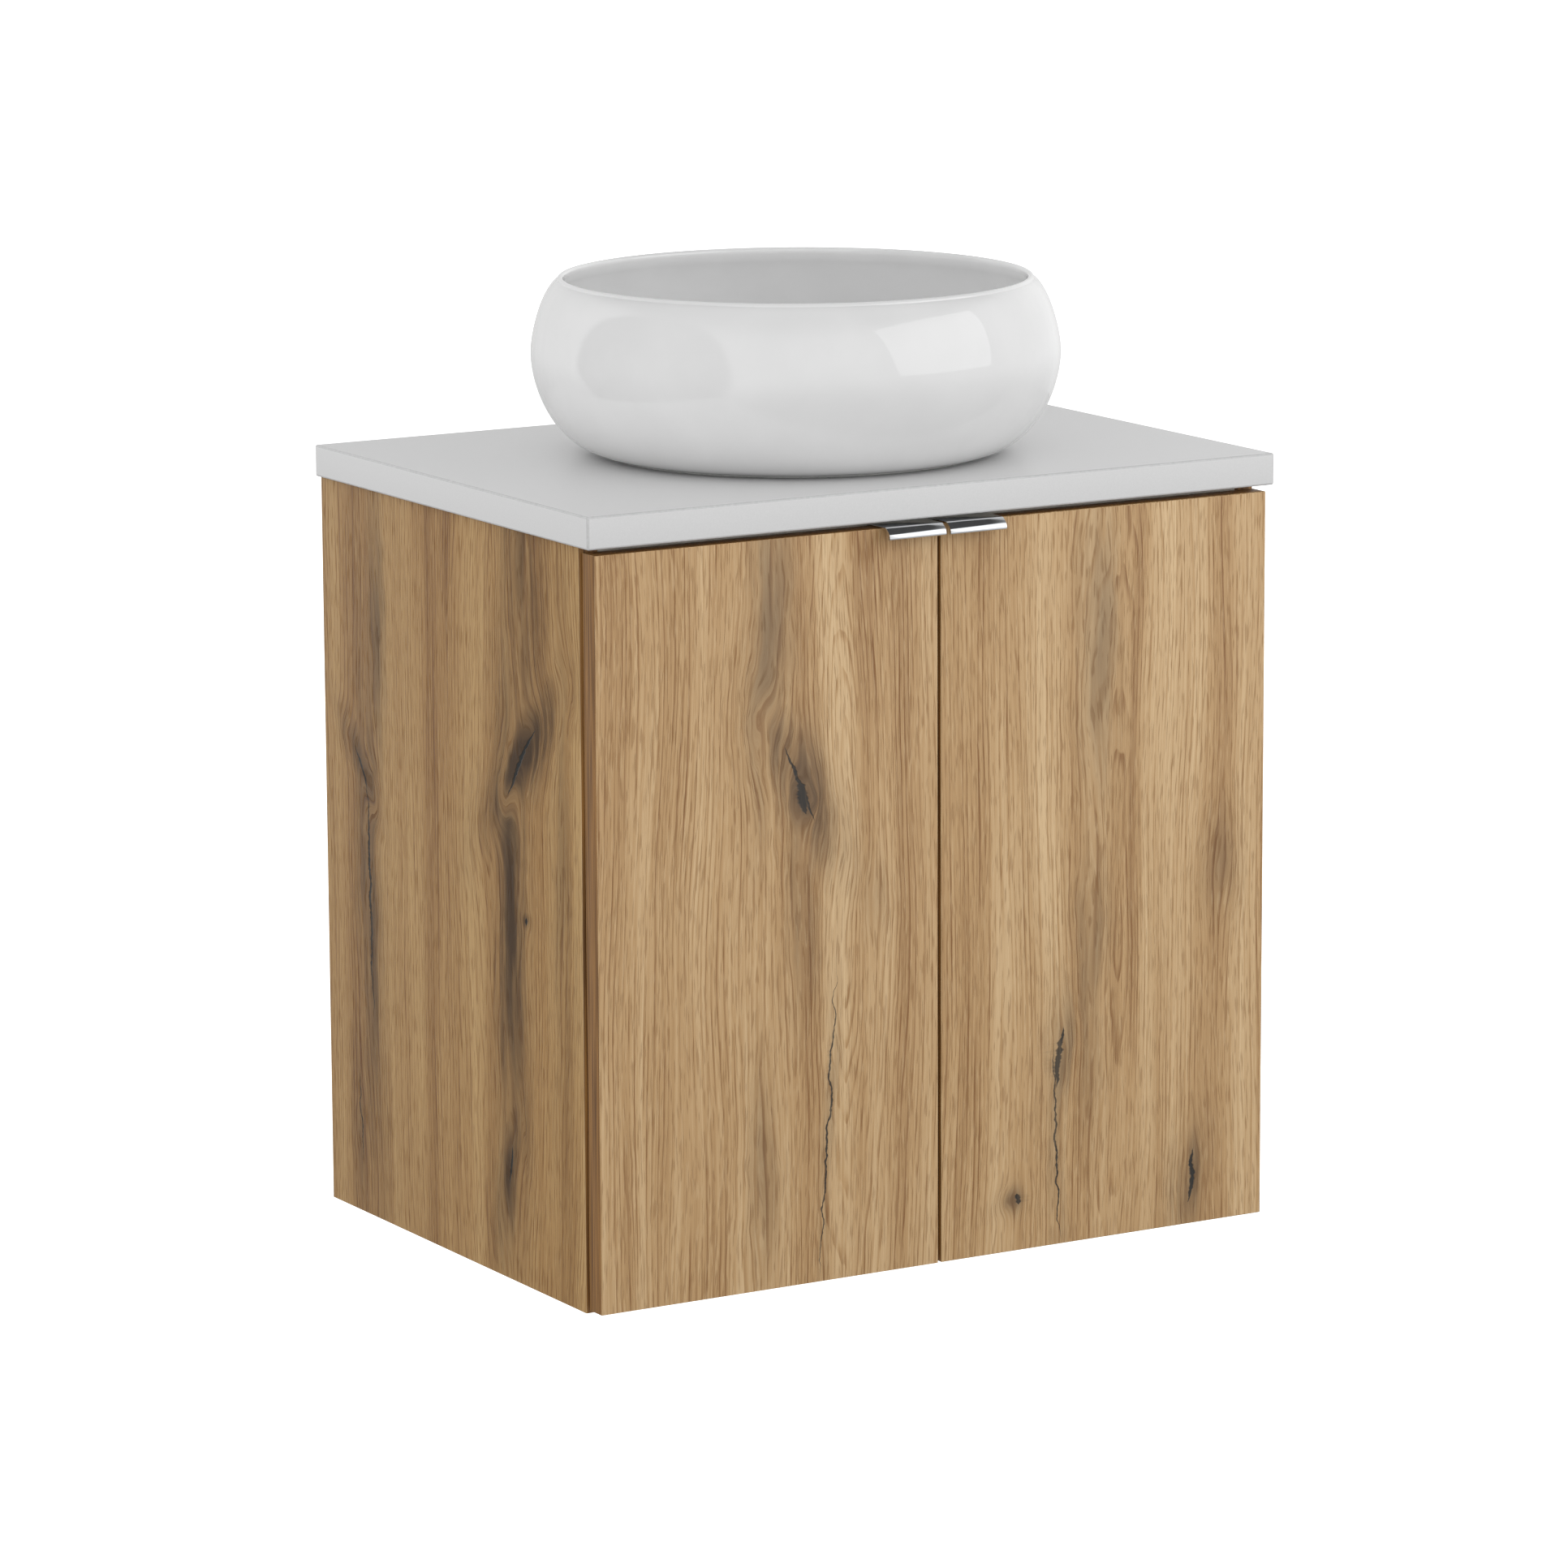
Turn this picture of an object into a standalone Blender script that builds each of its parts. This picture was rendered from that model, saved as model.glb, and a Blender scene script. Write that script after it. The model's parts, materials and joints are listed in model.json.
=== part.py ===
"""Wall-hung vanity unit, 600 mm wide, with two doors and a round counter-top basin.

Frame: the origin lies on the wall plane, at the middle of the unit's width and level with
its underside. +X runs to the right for someone facing the unit, +Y into the wall, +Z up.
Everything is in metres.
"""
from math import cos, pi, radians, sin

import bmesh
import bpy
from mathutils import Matrix, Vector

# Driving dimensions -------------------------------------------------------------------
WIDTH = 0.600
DEPTH = 0.440
CASE_HEIGHT = 0.585
GAP = 0.0003
FIT = 0.0005

SIDE_T = 0.016
BOARD_T = 0.016
DOOR_T = 0.018
DOOR_GAP = 0.003
DOOR_INSET = 0.0015
DOOR_BOTTOM = 0.003
DOOR_TOP_CLEARANCE = 0.0045
CENTRE_GAP = 0.003

TOP_T = 0.025
TOP_OVERHANG = 0.005
TOP_FRONT_OVERHANG = 0.002
TOP_EDGE_R = 0.0015

BASIN_HEIGHT = 0.136
BASIN_BELLY_R = 0.207
BASIN_BELLY_Z = 0.076
BASIN_FOOT_R = 0.1535
BASIN_RIM_R = 0.1855
BASIN_RIM_T = 0.005
BASIN_WALL = 0.007
BASIN_FLOOR = 0.016
BASIN_LOWER_EXPONENT = 1.82
BASIN_UPPER_EXPONENT = 1.56
BASIN_UPPER_STEPS = 7
BASIN_LOWER_STEPS = 8
BASIN_SIDES = 40
BASIN_FROM_WALL = 0.228
SEAL_T = 0.001

DRAIN_R = 0.0225
TOP_HOLE_R = 0.025
WASTE_R = 0.0205
WASTE_BORE_R = 0.018
PIPE_R = 0.016
PIPE_BORE_R = 0.0145
OUTLET_Z = 0.462
FLANGE_R = 0.0330
FLANGE_T = 0.0030
PLUG_R = 0.0305
PLUG_STEM_R = 0.0040
BACK_NUT_R = 0.031
TRAP_NUT_R = 0.0240
TRAP_HEAD_R = 0.0320
TRAP_HEAD_WALL = 0.003
TRAP_TOP_Z = 0.496
TRAP_SPLIT_Z = 0.4365
TRAP_CUP_R = 0.0310
TRAP_CUP_END_Z = 0.374
TUBE_END_Z = 0.402
OUTLET_BOSS_R = 0.0185
OUTLET_BOSS_REACH = 0.048
OUTLET_NUT_R = 0.0225
ROSETTE_R = 0.0330
ROSETTE_T = 0.012

RAIL_H = 0.080
CAM_R = 0.0075
CAM_DEPTH = 0.0125
CAM_FROM_SIDE = 0.034
PIN_HOLE_R = 0.0025
WALL_RAIL_H = 0.042
WALL_SCREW_X = 0.180
HOOK_Z = 0.556
HANGER_T = 0.014

HINGE_HEIGHTS = (0.092, 0.488)
HINGE_PIVOT_ARM = (0.025, 0.000)
HINGE_PIVOT_CUP = (0.010, -0.004)
LINK_CRANK = ((0.0035, 0.0057), (0.0120, 0.0057))
HINGE_PLATE_T = 0.0025
HINGE_SCREW_Z = 0.016
ARM_U = (0.0178, 0.0270)
ARM_V = (0.0060, 0.0660)
ARM_HALF = 0.0070
LINK_HALF = 0.0042
LINK_T = 0.0011
PIVOT_R = 0.0015
EYE_BORE_R = 0.0018
SCREW_REACH = 0.010
SCREW_HOLE_R = 0.0017
CUP_CENTRE_U = 0.0225
CUP_R = 0.0172
CUP_DEPTH = 0.0113
CUP_WALL = 0.001
CUP_PIN_HALF = 0.0098
CUP_SCREW_U = 0.0265
CUP_SCREW_Z = 0.0225
PLATE_V = 0.040

HANDLE_WIDTH = 0.050
HANDLE_REACH = 0.014
HANDLE_SHEET = 0.0014
HANDLE_SCREW_DROP = 0.010
HANDLE_BACK_DROP = 0.018
HANDLE_DROP = 0.0072
HANDLE_LIP = 0.0022

SIDES = ((-1, "left"), (1, "right"))

# Derived places -----------------------------------------------------------------------
DOOR_FACE_Y = -DEPTH
DOOR_BACK_Y = DOOR_FACE_Y + DOOR_T
CASE_FRONT_Y = DOOR_BACK_Y + DOOR_GAP
CASE_INNER_X = WIDTH / 2 - SIDE_T
DOOR_EDGE_X = WIDTH / 2 - DOOR_INSET
DOOR_TOP_Z = CASE_HEIGHT - DOOR_TOP_CLEARANCE
TOP_Z = CASE_HEIGHT + GAP
TOP_SURFACE_Z = TOP_Z + TOP_T
BASIN_Y = -BASIN_FROM_WALL
BASIN_Z = TOP_SURFACE_Z + SEAL_T + 2 * GAP
SEAT_Z = BASIN_Z + BASIN_FLOOR - 0.004
WASTE_END_Z = CASE_HEIGHT - 0.042
RAIL_BACK_Y = -0.018
HOOK_X = CASE_INNER_X - 0.0075
HANGER_FRONT_Y = RAIL_BACK_Y - BOARD_T - GAP
TURN_TO_X = Matrix(((0, 0, 1), (1, 0, 0), (0, 1, 0))).to_4x4()
SHELF_FRONT_Y = CASE_FRONT_Y + 0.060
PIN_ROWS_Y = (CASE_FRONT_Y + 0.100, -0.070)
PIN_HOLE_HEIGHTS = (0.190, 0.222, 0.254, 0.286, 0.318)
PIN_HEIGHT_USED = 0.254
SHELF_Z = PIN_HEIGHT_USED + PIN_HOLE_R + GAP

COLOURS = {
    "oak_decor": ((0.44, 0.31, 0.19), 0.55, 0.0),
    "carcass_board": ((0.78, 0.77, 0.74), 0.5, 0.0),
    "worktop_white": ((0.80, 0.80, 0.80), 0.35, 0.0),
    "glazed_ceramic": ((0.90, 0.90, 0.90), 0.06, 0.0),
    "chrome": ((0.85, 0.85, 0.86), 0.08, 1.0),
    "zinc": ((0.62, 0.63, 0.64), 0.32, 1.0),
    "white_plastic": ((0.88, 0.88, 0.87), 0.35, 0.0),
    "rubber": ((0.04, 0.04, 0.04), 0.8, 0.0),
    "silicone": ((0.82, 0.82, 0.81), 0.45, 0.0),
}


# Small makers -------------------------------------------------------------------------
def material(name):
    found = bpy.data.materials.get(name)
    if found:
        return found
    colour, roughness, metallic = COLOURS[name]
    made = bpy.data.materials.new(name)
    made.use_nodes = True
    shader = made.node_tree.nodes["Principled BSDF"]
    shader.inputs["Base Color"].default_value = (*colour, 1.0)
    shader.inputs["Roughness"].default_value = roughness
    shader.inputs["Metallic"].default_value = metallic
    return made


def new_collection(name):
    made = bpy.data.collections.new(name)
    bpy.context.scene.collection.children.link(made)
    return made


def add_mesh(name, bm, finish, collection, place=(0, 0, 0)):
    mesh = bpy.data.meshes.new(name)
    bm.to_mesh(mesh)
    bm.free()
    mesh.materials.append(material(finish))
    made = bpy.data.objects.new(name, mesh)
    made.location = place
    collection.objects.link(made)
    return made


def box_bm(low, high, bm=None):
    """A box between two corners, added to bm."""
    bm = bm or bmesh.new()
    low, high = Vector(low), Vector(high)
    size = high - low
    matrix = Matrix.Translation((low + high) / 2) @ Matrix.Diagonal((*size, 1.0))
    bmesh.ops.create_cube(bm, size=1.0, matrix=matrix)
    return bm


def rod_bm(start, end, radius, sides=16, bm=None, end_radius=None):
    """A capped cylinder or cone from start to end, added to bm."""
    bm = bm or bmesh.new()
    start, end = Vector(start), Vector(end)
    along = end - start
    turn = along.to_track_quat("Z", "Y").to_matrix().to_4x4()
    bmesh.ops.create_cone(
        bm,
        cap_ends=True,
        segments=sides,
        radius1=radius,
        radius2=radius if end_radius is None else end_radius,
        depth=along.length,
        matrix=Matrix.Translation((start + end) / 2) @ turn,
    )
    return bm


def prism_bm(outline, low_z, high_z, bm=None):
    """An outline in X and Y, wound anticlockwise, raised from low_z to high_z."""
    bm = bm or bmesh.new()
    corners = [bm.verts.new((x, y, low_z)) for x, y in outline]
    base = bm.faces.new(corners)
    base.normal_flip()
    raised = bmesh.ops.extrude_face_region(bm, geom=[base], use_keep_orig=True)
    top = [item for item in raised["geom"] if isinstance(item, bmesh.types.BMVert)]
    bmesh.ops.translate(bm, verts=top, vec=(0, 0, high_z - low_z))
    bmesh.ops.recalc_face_normals(bm, faces=bm.faces)
    return bm


def add_box(name, low, high, finish, parts, rounding=0.0):
    middle = (Vector(low) + Vector(high)) / 2
    made = add_mesh(name, box_bm(Vector(low) - middle, Vector(high) - middle), finish, parts, middle)
    if rounding:
        bevel = made.modifiers.new("edges", "BEVEL")
        bevel.width = rounding
        bevel.segments = 2
    return made


def add_turned(name, profile, place, finish, parts, steps=32, axis="Z"):
    """A closed profile of (radius, height) points spun about its own axis.

    The points run down the outer side and back up the inner side."""
    bm = bmesh.new()
    verts = [bm.verts.new((radius, 0, height)) for radius, height in profile]
    for one, other in zip(verts, verts[1:] + verts[:1]):
        if one.co.x > 0 or other.co.x > 0:
            bm.edges.new((one, other))
    made = add_mesh(name, bm, finish, parts, place)
    if axis == "Y":
        made.rotation_euler = (-pi / 2, 0, 0)
    screw = made.modifiers.new("turn", "SCREW")
    screw.steps = steps
    screw.render_steps = steps
    screw.use_merge_vertices = True
    screw.merge_threshold = 0.00005
    return made


def add_nut(name, start, end, radius, sides, bore, finish, parts, cutters):
    """A nut with flat outer sides and a round bore, along the line from start to end."""
    nut = add_mesh(name, rod_bm(start, end, radius, sides), finish, parts)
    along = (Vector(end) - Vector(start)).normalized() * 0.005
    hole = rod_bm(Vector(start) - along, Vector(end) + along, bore, 24)
    cut(nut, add_mesh(name + "_bore", hole, finish, cutters))
    return nut


def smooth(made, degrees=35):
    made.data.shade_smooth()
    made.data.set_sharp_from_angle(angle=radians(degrees))


def cut(target, cutter):
    """Takes the cutter out of the target."""
    boolean = target.modifiers.new("cut_" + cutter.name, "BOOLEAN")
    boolean.operation = "DIFFERENCE"
    boolean.object = cutter
    cutter.hide_render = True
    cutter.display_type = "WIRE"


def join(target, addition):
    """Joins the addition to the target as one solid."""
    boolean = target.modifiers.new("join_" + addition.name, "BOOLEAN")
    boolean.operation = "UNION"
    boolean.object = addition
    addition.hide_render = True
    addition.display_type = "WIRE"


# Case ---------------------------------------------------------------------------------
def add_side_panel(side, tag, parts, cutters):
    name = "side_panel_" + tag
    inner = side * CASE_INNER_X
    outer = side * WIDTH / 2
    low = (min(inner, outer), CASE_FRONT_Y, 0)
    high = (max(inner, outer), 0, CASE_HEIGHT)
    panel = add_box(name, low, high, "oak_decor", parts)
    holes = bmesh.new()
    for y in PIN_ROWS_Y:
        for z in PIN_HOLE_HEIGHTS:
            rod_bm((inner - side * 0.002, y, z), (inner + side * 0.010, y, z), PIN_HOLE_R, 10, holes)
    for z in HINGE_HEIGHTS:
        for z_screw in (z - HINGE_SCREW_Z, z + HINGE_SCREW_Z):
            y = DOOR_BACK_Y + PLATE_V
            start, end = (inner - side * 0.002, y, z_screw), (inner + side * 0.012, y, z_screw)
            rod_bm(start, end, PIN_HOLE_R, 10, holes)
    cut(panel, add_mesh(name + "_pin_holes", holes, "oak_decor", cutters))


def cam_places():
    """Where each cam lock sits: its centre on a board's face and the way it faces."""
    near = CASE_INNER_X - CAM_FROM_SIDE
    for side in (-1, 1):
        for y in (CASE_FRONT_Y + 0.050, -0.090):
            yield "bottom_panel", Vector((side * near, y, BOARD_T)), Vector((0, 0, 1))
        rail_y = CASE_FRONT_Y + 0.040
        yield "front_top_rail", Vector((side * near, rail_y, CASE_HEIGHT - BOARD_T)), Vector((0, 0, -1))
        for name, z in (("rear_top_rail", CASE_HEIGHT - 0.056), ("rear_bottom_rail", BOARD_T + 0.040)):
            yield name, Vector((side * near, RAIL_BACK_Y - BOARD_T, z)), Vector((0, -1, 0))


def add_case_boards(parts, cutters):
    reach = CASE_INNER_X - GAP
    boards = {
        "bottom_panel": ((-reach, CASE_FRONT_Y, 0), (reach, 0, BOARD_T)),
        "front_top_rail": (
            (-reach, CASE_FRONT_Y, CASE_HEIGHT - BOARD_T),
            (reach, CASE_FRONT_Y + RAIL_H, CASE_HEIGHT),
        ),
        "rear_top_rail": (
            (-reach, RAIL_BACK_Y - BOARD_T, CASE_HEIGHT - RAIL_H),
            (reach, RAIL_BACK_Y, CASE_HEIGHT),
        ),
        "rear_bottom_rail": (
            (-reach, RAIL_BACK_Y - BOARD_T, BOARD_T + GAP),
            (reach, RAIL_BACK_Y, BOARD_T + RAIL_H),
        ),
    }
    for name, (low, high) in boards.items():
        board = add_box(name, low, high, "carcass_board", parts)
        sockets = bmesh.new()
        for owner, centre, facing in cam_places():
            if owner == name:
                rod_bm(centre + facing * 0.002, centre - facing * CAM_DEPTH, CAM_R, 16, sockets)
        cut(board, add_mesh(name + "_cam_sockets", sockets, "carcass_board", cutters))


def add_shelf(parts):
    reach = CASE_INNER_X - 0.001
    low = (-reach, SHELF_FRONT_Y, SHELF_Z)
    add_box("shelf", low, (reach, -0.045, SHELF_Z + BOARD_T), "carcass_board", parts)
    for side, tag in SIDES:
        for y, row in zip(PIN_ROWS_Y, ("front", "rear")):
            wall = side * CASE_INNER_X
            start = (wall + side * 0.008, y, PIN_HEIGHT_USED)
            end = (wall - side * 0.010, y, PIN_HEIGHT_USED)
            pin = rod_bm(start, end, PIN_HOLE_R - GAP, 10)
            add_mesh("shelf_pin_%s_%s" % (tag, row), pin, "zinc", parts)


def add_worktop(parts, cutters):
    half = WIDTH / 2 + TOP_OVERHANG
    top = add_box(
        "worktop",
        (-half, DOOR_FACE_Y - TOP_FRONT_OVERHANG, TOP_Z),
        (half, 0, TOP_SURFACE_Z),
        "worktop_white",
        parts,
        TOP_EDGE_R,
    )
    hole = rod_bm((0, BASIN_Y, TOP_Z - 0.01), (0, BASIN_Y, TOP_SURFACE_Z + 0.01), TOP_HOLE_R, 32)
    cut(top, add_mesh("worktop_drain_hole", hole, "worktop_white", cutters))


# Basin and waste ----------------------------------------------------------------------
def basin_outside():
    """From the rim down over the belly to the foot: two superellipse quarters."""
    points = []
    upper_z = BASIN_HEIGHT - BASIN_RIM_T / 2 - BASIN_BELLY_Z
    for step in range(BASIN_UPPER_STEPS + 1):
        turn = pi / 2 * (1 - step / BASIN_UPPER_STEPS)
        radius = BASIN_RIM_R + (BASIN_BELLY_R - BASIN_RIM_R) * cos(turn) ** (2 / BASIN_UPPER_EXPONENT)
        height = BASIN_BELLY_Z + upper_z * sin(turn) ** (2 / BASIN_UPPER_EXPONENT)
        points.append((radius, height))
    for step in range(1, BASIN_LOWER_STEPS + 1):
        turn = pi / 2 * (1 - step / BASIN_LOWER_STEPS)
        radius = BASIN_FOOT_R + (BASIN_BELLY_R - BASIN_FOOT_R) * sin(turn) ** (2 / BASIN_LOWER_EXPONENT)
        height = BASIN_BELLY_Z - BASIN_BELLY_Z * cos(turn) ** (2 / BASIN_LOWER_EXPONENT)
        points.append((radius, height))
    return points


def basin_inside():
    """The inner side, from the drain out over the floor and up to the rim."""
    outside = basin_outside()
    wall = []
    for (r0, z0), (r1, z1), (r2, z2) in zip(outside, outside[1:], outside[2:]):
        slope = Vector((r2 - r0, z2 - z0)).normalized()
        inward = Vector((slope.y, -slope.x))
        radius, height = r1 + inward.x * BASIN_WALL, z1 + inward.y * BASIN_WALL
        if height > BASIN_FLOOR + 0.012 and height < BASIN_HEIGHT - 0.012:
            wall.append((radius, height))
    wall = wall[::-1]
    floor_r = wall[0][0]
    floor = [
        (DRAIN_R, BASIN_FLOOR - 0.004),
        (DRAIN_R + 0.012, BASIN_FLOOR - 0.004),
        (DRAIN_R + 0.014, BASIN_FLOOR - 0.003),
        (floor_r - 0.052, BASIN_FLOOR),
        (floor_r - 0.026, BASIN_FLOOR + 0.0025),
        (floor_r - 0.010, BASIN_FLOOR + 0.0080),
    ]
    rim = [(BASIN_RIM_R - BASIN_RIM_T, BASIN_HEIGHT - BASIN_RIM_T)]
    return floor + wall + rim


def basin_rim():
    """The rounded lip, from its inner to its outer side."""
    middle = BASIN_RIM_R - BASIN_RIM_T / 2
    round_r = BASIN_RIM_T / 2
    points = []
    for step in range(4):
        turn = pi * (1 - step / 4)
        points.append((middle + round_r * cos(turn), BASIN_HEIGHT - round_r + round_r * sin(turn)))
    return points


def add_basin(parts):
    foot = [
        (BASIN_FOOT_R - 0.025, 0),
        (BASIN_FOOT_R - 0.028, 0.004),
        (0.050, 0.004),
        (0.047, 0),
        (DRAIN_R, 0),
    ]
    profile = basin_outside() + foot + basin_inside() + basin_rim()
    basin = add_turned("basin", profile, (0, BASIN_Y, BASIN_Z), "glazed_ceramic", parts, BASIN_SIDES)
    smooth(basin)
    seal = [
        (BASIN_FOOT_R - 0.003, SEAL_T),
        (BASIN_FOOT_R - 0.003, 0),
        (BASIN_FOOT_R - 0.022, 0),
        (BASIN_FOOT_R - 0.022, SEAL_T),
    ]
    add_turned("basin_seal", seal, (0, BASIN_Y, TOP_SURFACE_Z + GAP), "silicone", parts, 32)


def add_waste(parts, cutters):
    """Flanged outlet, its cartridge, the domed plug and what clamps them from below."""
    place = (0, BASIN_Y, SEAT_Z + GAP)
    end = WASTE_END_Z - place[2]
    body = [
        (FLANGE_R - 0.0015, FLANGE_T),
        (FLANGE_R, FLANGE_T - 0.0012),
        (FLANGE_R, 0),
        (WASTE_R, 0),
        (WASTE_R, end),
        (WASTE_BORE_R, end),
        (WASTE_BORE_R, -0.004),
        (0.0260, FLANGE_T - 0.0012),
        (0.0275, FLANGE_T),
    ]
    smooth(add_turned("waste_body", body, place, "chrome", parts, 32))

    plug_z = FLANGE_T + GAP
    plug = [
        (0.0001, plug_z + 0.0050),
        (0.0120, plug_z + 0.0046),
        (0.0220, plug_z + 0.0034),
        (PLUG_R - 0.0015, plug_z + 0.0018),
        (PLUG_R, plug_z + 0.0008),
        (PLUG_R - 0.0006, plug_z),
        (0.0120, plug_z),
        (PLUG_STEM_R, plug_z - 0.004),
        (PLUG_STEM_R, -0.040),
        (0.0001, -0.040),
    ]
    plug = [(0 if radius < 0.001 else radius, height) for radius, height in plug]
    smooth(add_turned("waste_plug", plug, place, "chrome", parts, 32))

    sleeve = [
        (0.0075, -0.018),
        (0.0075, -0.034),
        (PLUG_STEM_R + GAP, -0.034),
        (PLUG_STEM_R + GAP, -0.018),
    ]
    cartridge = add_turned("plug_cartridge", sleeve, place, "white_plastic", parts, 20)
    ribs = bmesh.new()
    for number in range(3):
        spoke = box_bm((0.0060, -0.0015, -0.032), (WASTE_BORE_R - 0.0005, 0.0015, -0.020))
        bmesh.ops.rotate(spoke, verts=spoke.verts, matrix=Matrix.Rotation(2 * pi * number / 3, 3, "Z"))
        mesh = bpy.data.meshes.new("spoke")
        spoke.to_mesh(mesh)
        spoke.free()
        ribs.from_mesh(mesh)
        bpy.data.meshes.remove(mesh)
    join(cartridge, add_mesh("plug_cartridge_ribs", ribs, "white_plastic", cutters, place))

    under = CASE_HEIGHT
    washer = [(0.030, -GAP), (0.030, -0.003), (WASTE_R + FIT, -0.003), (WASTE_R + FIT, -GAP)]
    add_turned("waste_washer", washer, (0, BASIN_Y, under), "rubber", parts, 24)
    nut_top, nut_end = (0, BASIN_Y, under - 0.0033), (0, BASIN_Y, under - 0.0130)
    add_nut("waste_back_nut", nut_top, nut_end, BACK_NUT_R, 6, WASTE_R + FIT, "chrome", parts, cutters)


# Bottle trap --------------------------------------------------------------------------
def add_trap(parts, cutters):
    """Bottle trap from the waste down to its cup and back to the wall."""
    place = (0, BASIN_Y, 0)
    end = WASTE_END_Z
    nut_top = end - GAP
    low, high = (0, BASIN_Y, nut_top - 0.016), (0, BASIN_Y, nut_top)
    add_nut("trap_inlet_nut", low, high, TRAP_NUT_R, 12, PIPE_R + FIT, "chrome", parts, cutters)
    tube_top = nut_top - 0.001
    tube = [
        (PIPE_R, tube_top),
        (PIPE_R, TUBE_END_Z),
        (PIPE_BORE_R, TUBE_END_Z),
        (PIPE_BORE_R, tube_top),
    ]
    smooth(add_turned("trap_inlet_tube", tube, place, "chrome", parts, 24))
    head = [
        (TRAP_HEAD_R - 0.0095, TRAP_TOP_Z),
        (TRAP_HEAD_R - 0.0020, TRAP_TOP_Z - 0.006),
        (TRAP_HEAD_R, TRAP_TOP_Z - 0.014),
        (TRAP_HEAD_R, TRAP_SPLIT_Z),
        (TRAP_HEAD_R - TRAP_HEAD_WALL, TRAP_SPLIT_Z),
        (TRAP_HEAD_R - TRAP_HEAD_WALL, TRAP_TOP_Z - 0.016),
        (TRAP_HEAD_R - 0.0120, TRAP_TOP_Z - 0.009),
        (PIPE_R + FIT, TRAP_TOP_Z - 0.007),
        (PIPE_R + FIT, TRAP_TOP_Z),
    ]
    body = add_turned("trap_body", head, place, "chrome", parts, 20)
    smooth(body)
    return body


def finish_trap(body, parts, cutters):
    bore = rod_bm((0, BASIN_Y + 0.020, OUTLET_Z), (0, BASIN_Y + 0.070, OUTLET_Z), PIPE_BORE_R, 20)
    boss_start = (0, BASIN_Y + 0.0300, OUTLET_Z)
    boss_end = (0, BASIN_Y + OUTLET_BOSS_REACH, OUTLET_Z)
    boss = rod_bm(boss_start, boss_end, OUTLET_BOSS_R, 20)
    join(body, add_mesh("trap_outlet_boss", boss, "chrome", cutters))
    cut(body, add_mesh("trap_outlet_bore", bore, "chrome", cutters))
    cup_top = TRAP_SPLIT_Z - 0.0005
    cup = [
        (TRAP_CUP_R + 0.0035, cup_top),
        (TRAP_CUP_R + 0.0035, cup_top - 0.012),
        (TRAP_CUP_R, cup_top - 0.016),
        (TRAP_CUP_R, TRAP_CUP_END_Z + 0.010),
        (TRAP_CUP_R - 0.002, TRAP_CUP_END_Z + 0.004),
        (TRAP_CUP_R - 0.009, TRAP_CUP_END_Z),
        (0, TRAP_CUP_END_Z),
        (0, TRAP_CUP_END_Z + 0.003),
        (TRAP_CUP_R - 0.010, TRAP_CUP_END_Z + 0.003),
        (TRAP_CUP_R - 0.004, TRAP_CUP_END_Z + 0.007),
        (TRAP_CUP_R - 0.003, TRAP_CUP_END_Z + 0.012),
        (TRAP_CUP_R - 0.003, cup_top),
    ]
    smooth(add_turned("trap_cup", cup, (0, BASIN_Y, 0), "chrome", parts, 20))
    start = BASIN_Y + OUTLET_BOSS_REACH + GAP
    near, far = (0, start, OUTLET_Z), (0, start + 0.014, OUTLET_Z)
    add_nut("trap_outlet_nut", near, far, OUTLET_NUT_R, 12, PIPE_R + FIT, "chrome", parts, cutters)
    length = -start
    pipe = [
        (PIPE_R, length),
        (PIPE_R, GAP),
        (PIPE_BORE_R, GAP),
        (PIPE_BORE_R, length),
    ]
    smooth(add_turned("outlet_pipe", pipe, (0, start, OUTLET_Z), "chrome", parts, 24, "Y"))
    rosette = [
        (ROSETTE_R, ROSETTE_T - 0.0002),
        (ROSETTE_R, ROSETTE_T - 0.0020),
        (0.0260, 0.0040),
        (0.0175, 0),
        (PIPE_R + FIT, 0),
        (PIPE_R + FIT, 0.0015),
        (0.0250, 0.0060),
        (ROSETTE_R - 0.0015, ROSETTE_T - 0.0002),
    ]
    smooth(add_turned("wall_rosette", rosette, (0, -ROSETTE_T, OUTLET_Z), "chrome", parts, 20, "Y"))


# Wall fixing --------------------------------------------------------------------------
def sideways_prism_bm(outline, low_x, high_x, bm=None):
    """An outline in Y and Z, run from low_x to high_x and added to bm."""
    piece = prism_bm(outline, low_x, high_x)
    bmesh.ops.transform(piece, verts=piece.verts, matrix=TURN_TO_X)
    return gather(piece, bm)


def gather(piece, bm):
    """Moves one bmesh's geometry into another."""
    bmesh.ops.recalc_face_normals(piece, faces=piece.faces)
    if bm is None:
        return piece
    mesh = bpy.data.meshes.new("piece")
    piece.to_mesh(mesh)
    piece.free()
    bm.from_mesh(mesh)
    bpy.data.meshes.remove(mesh)
    return bm


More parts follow.
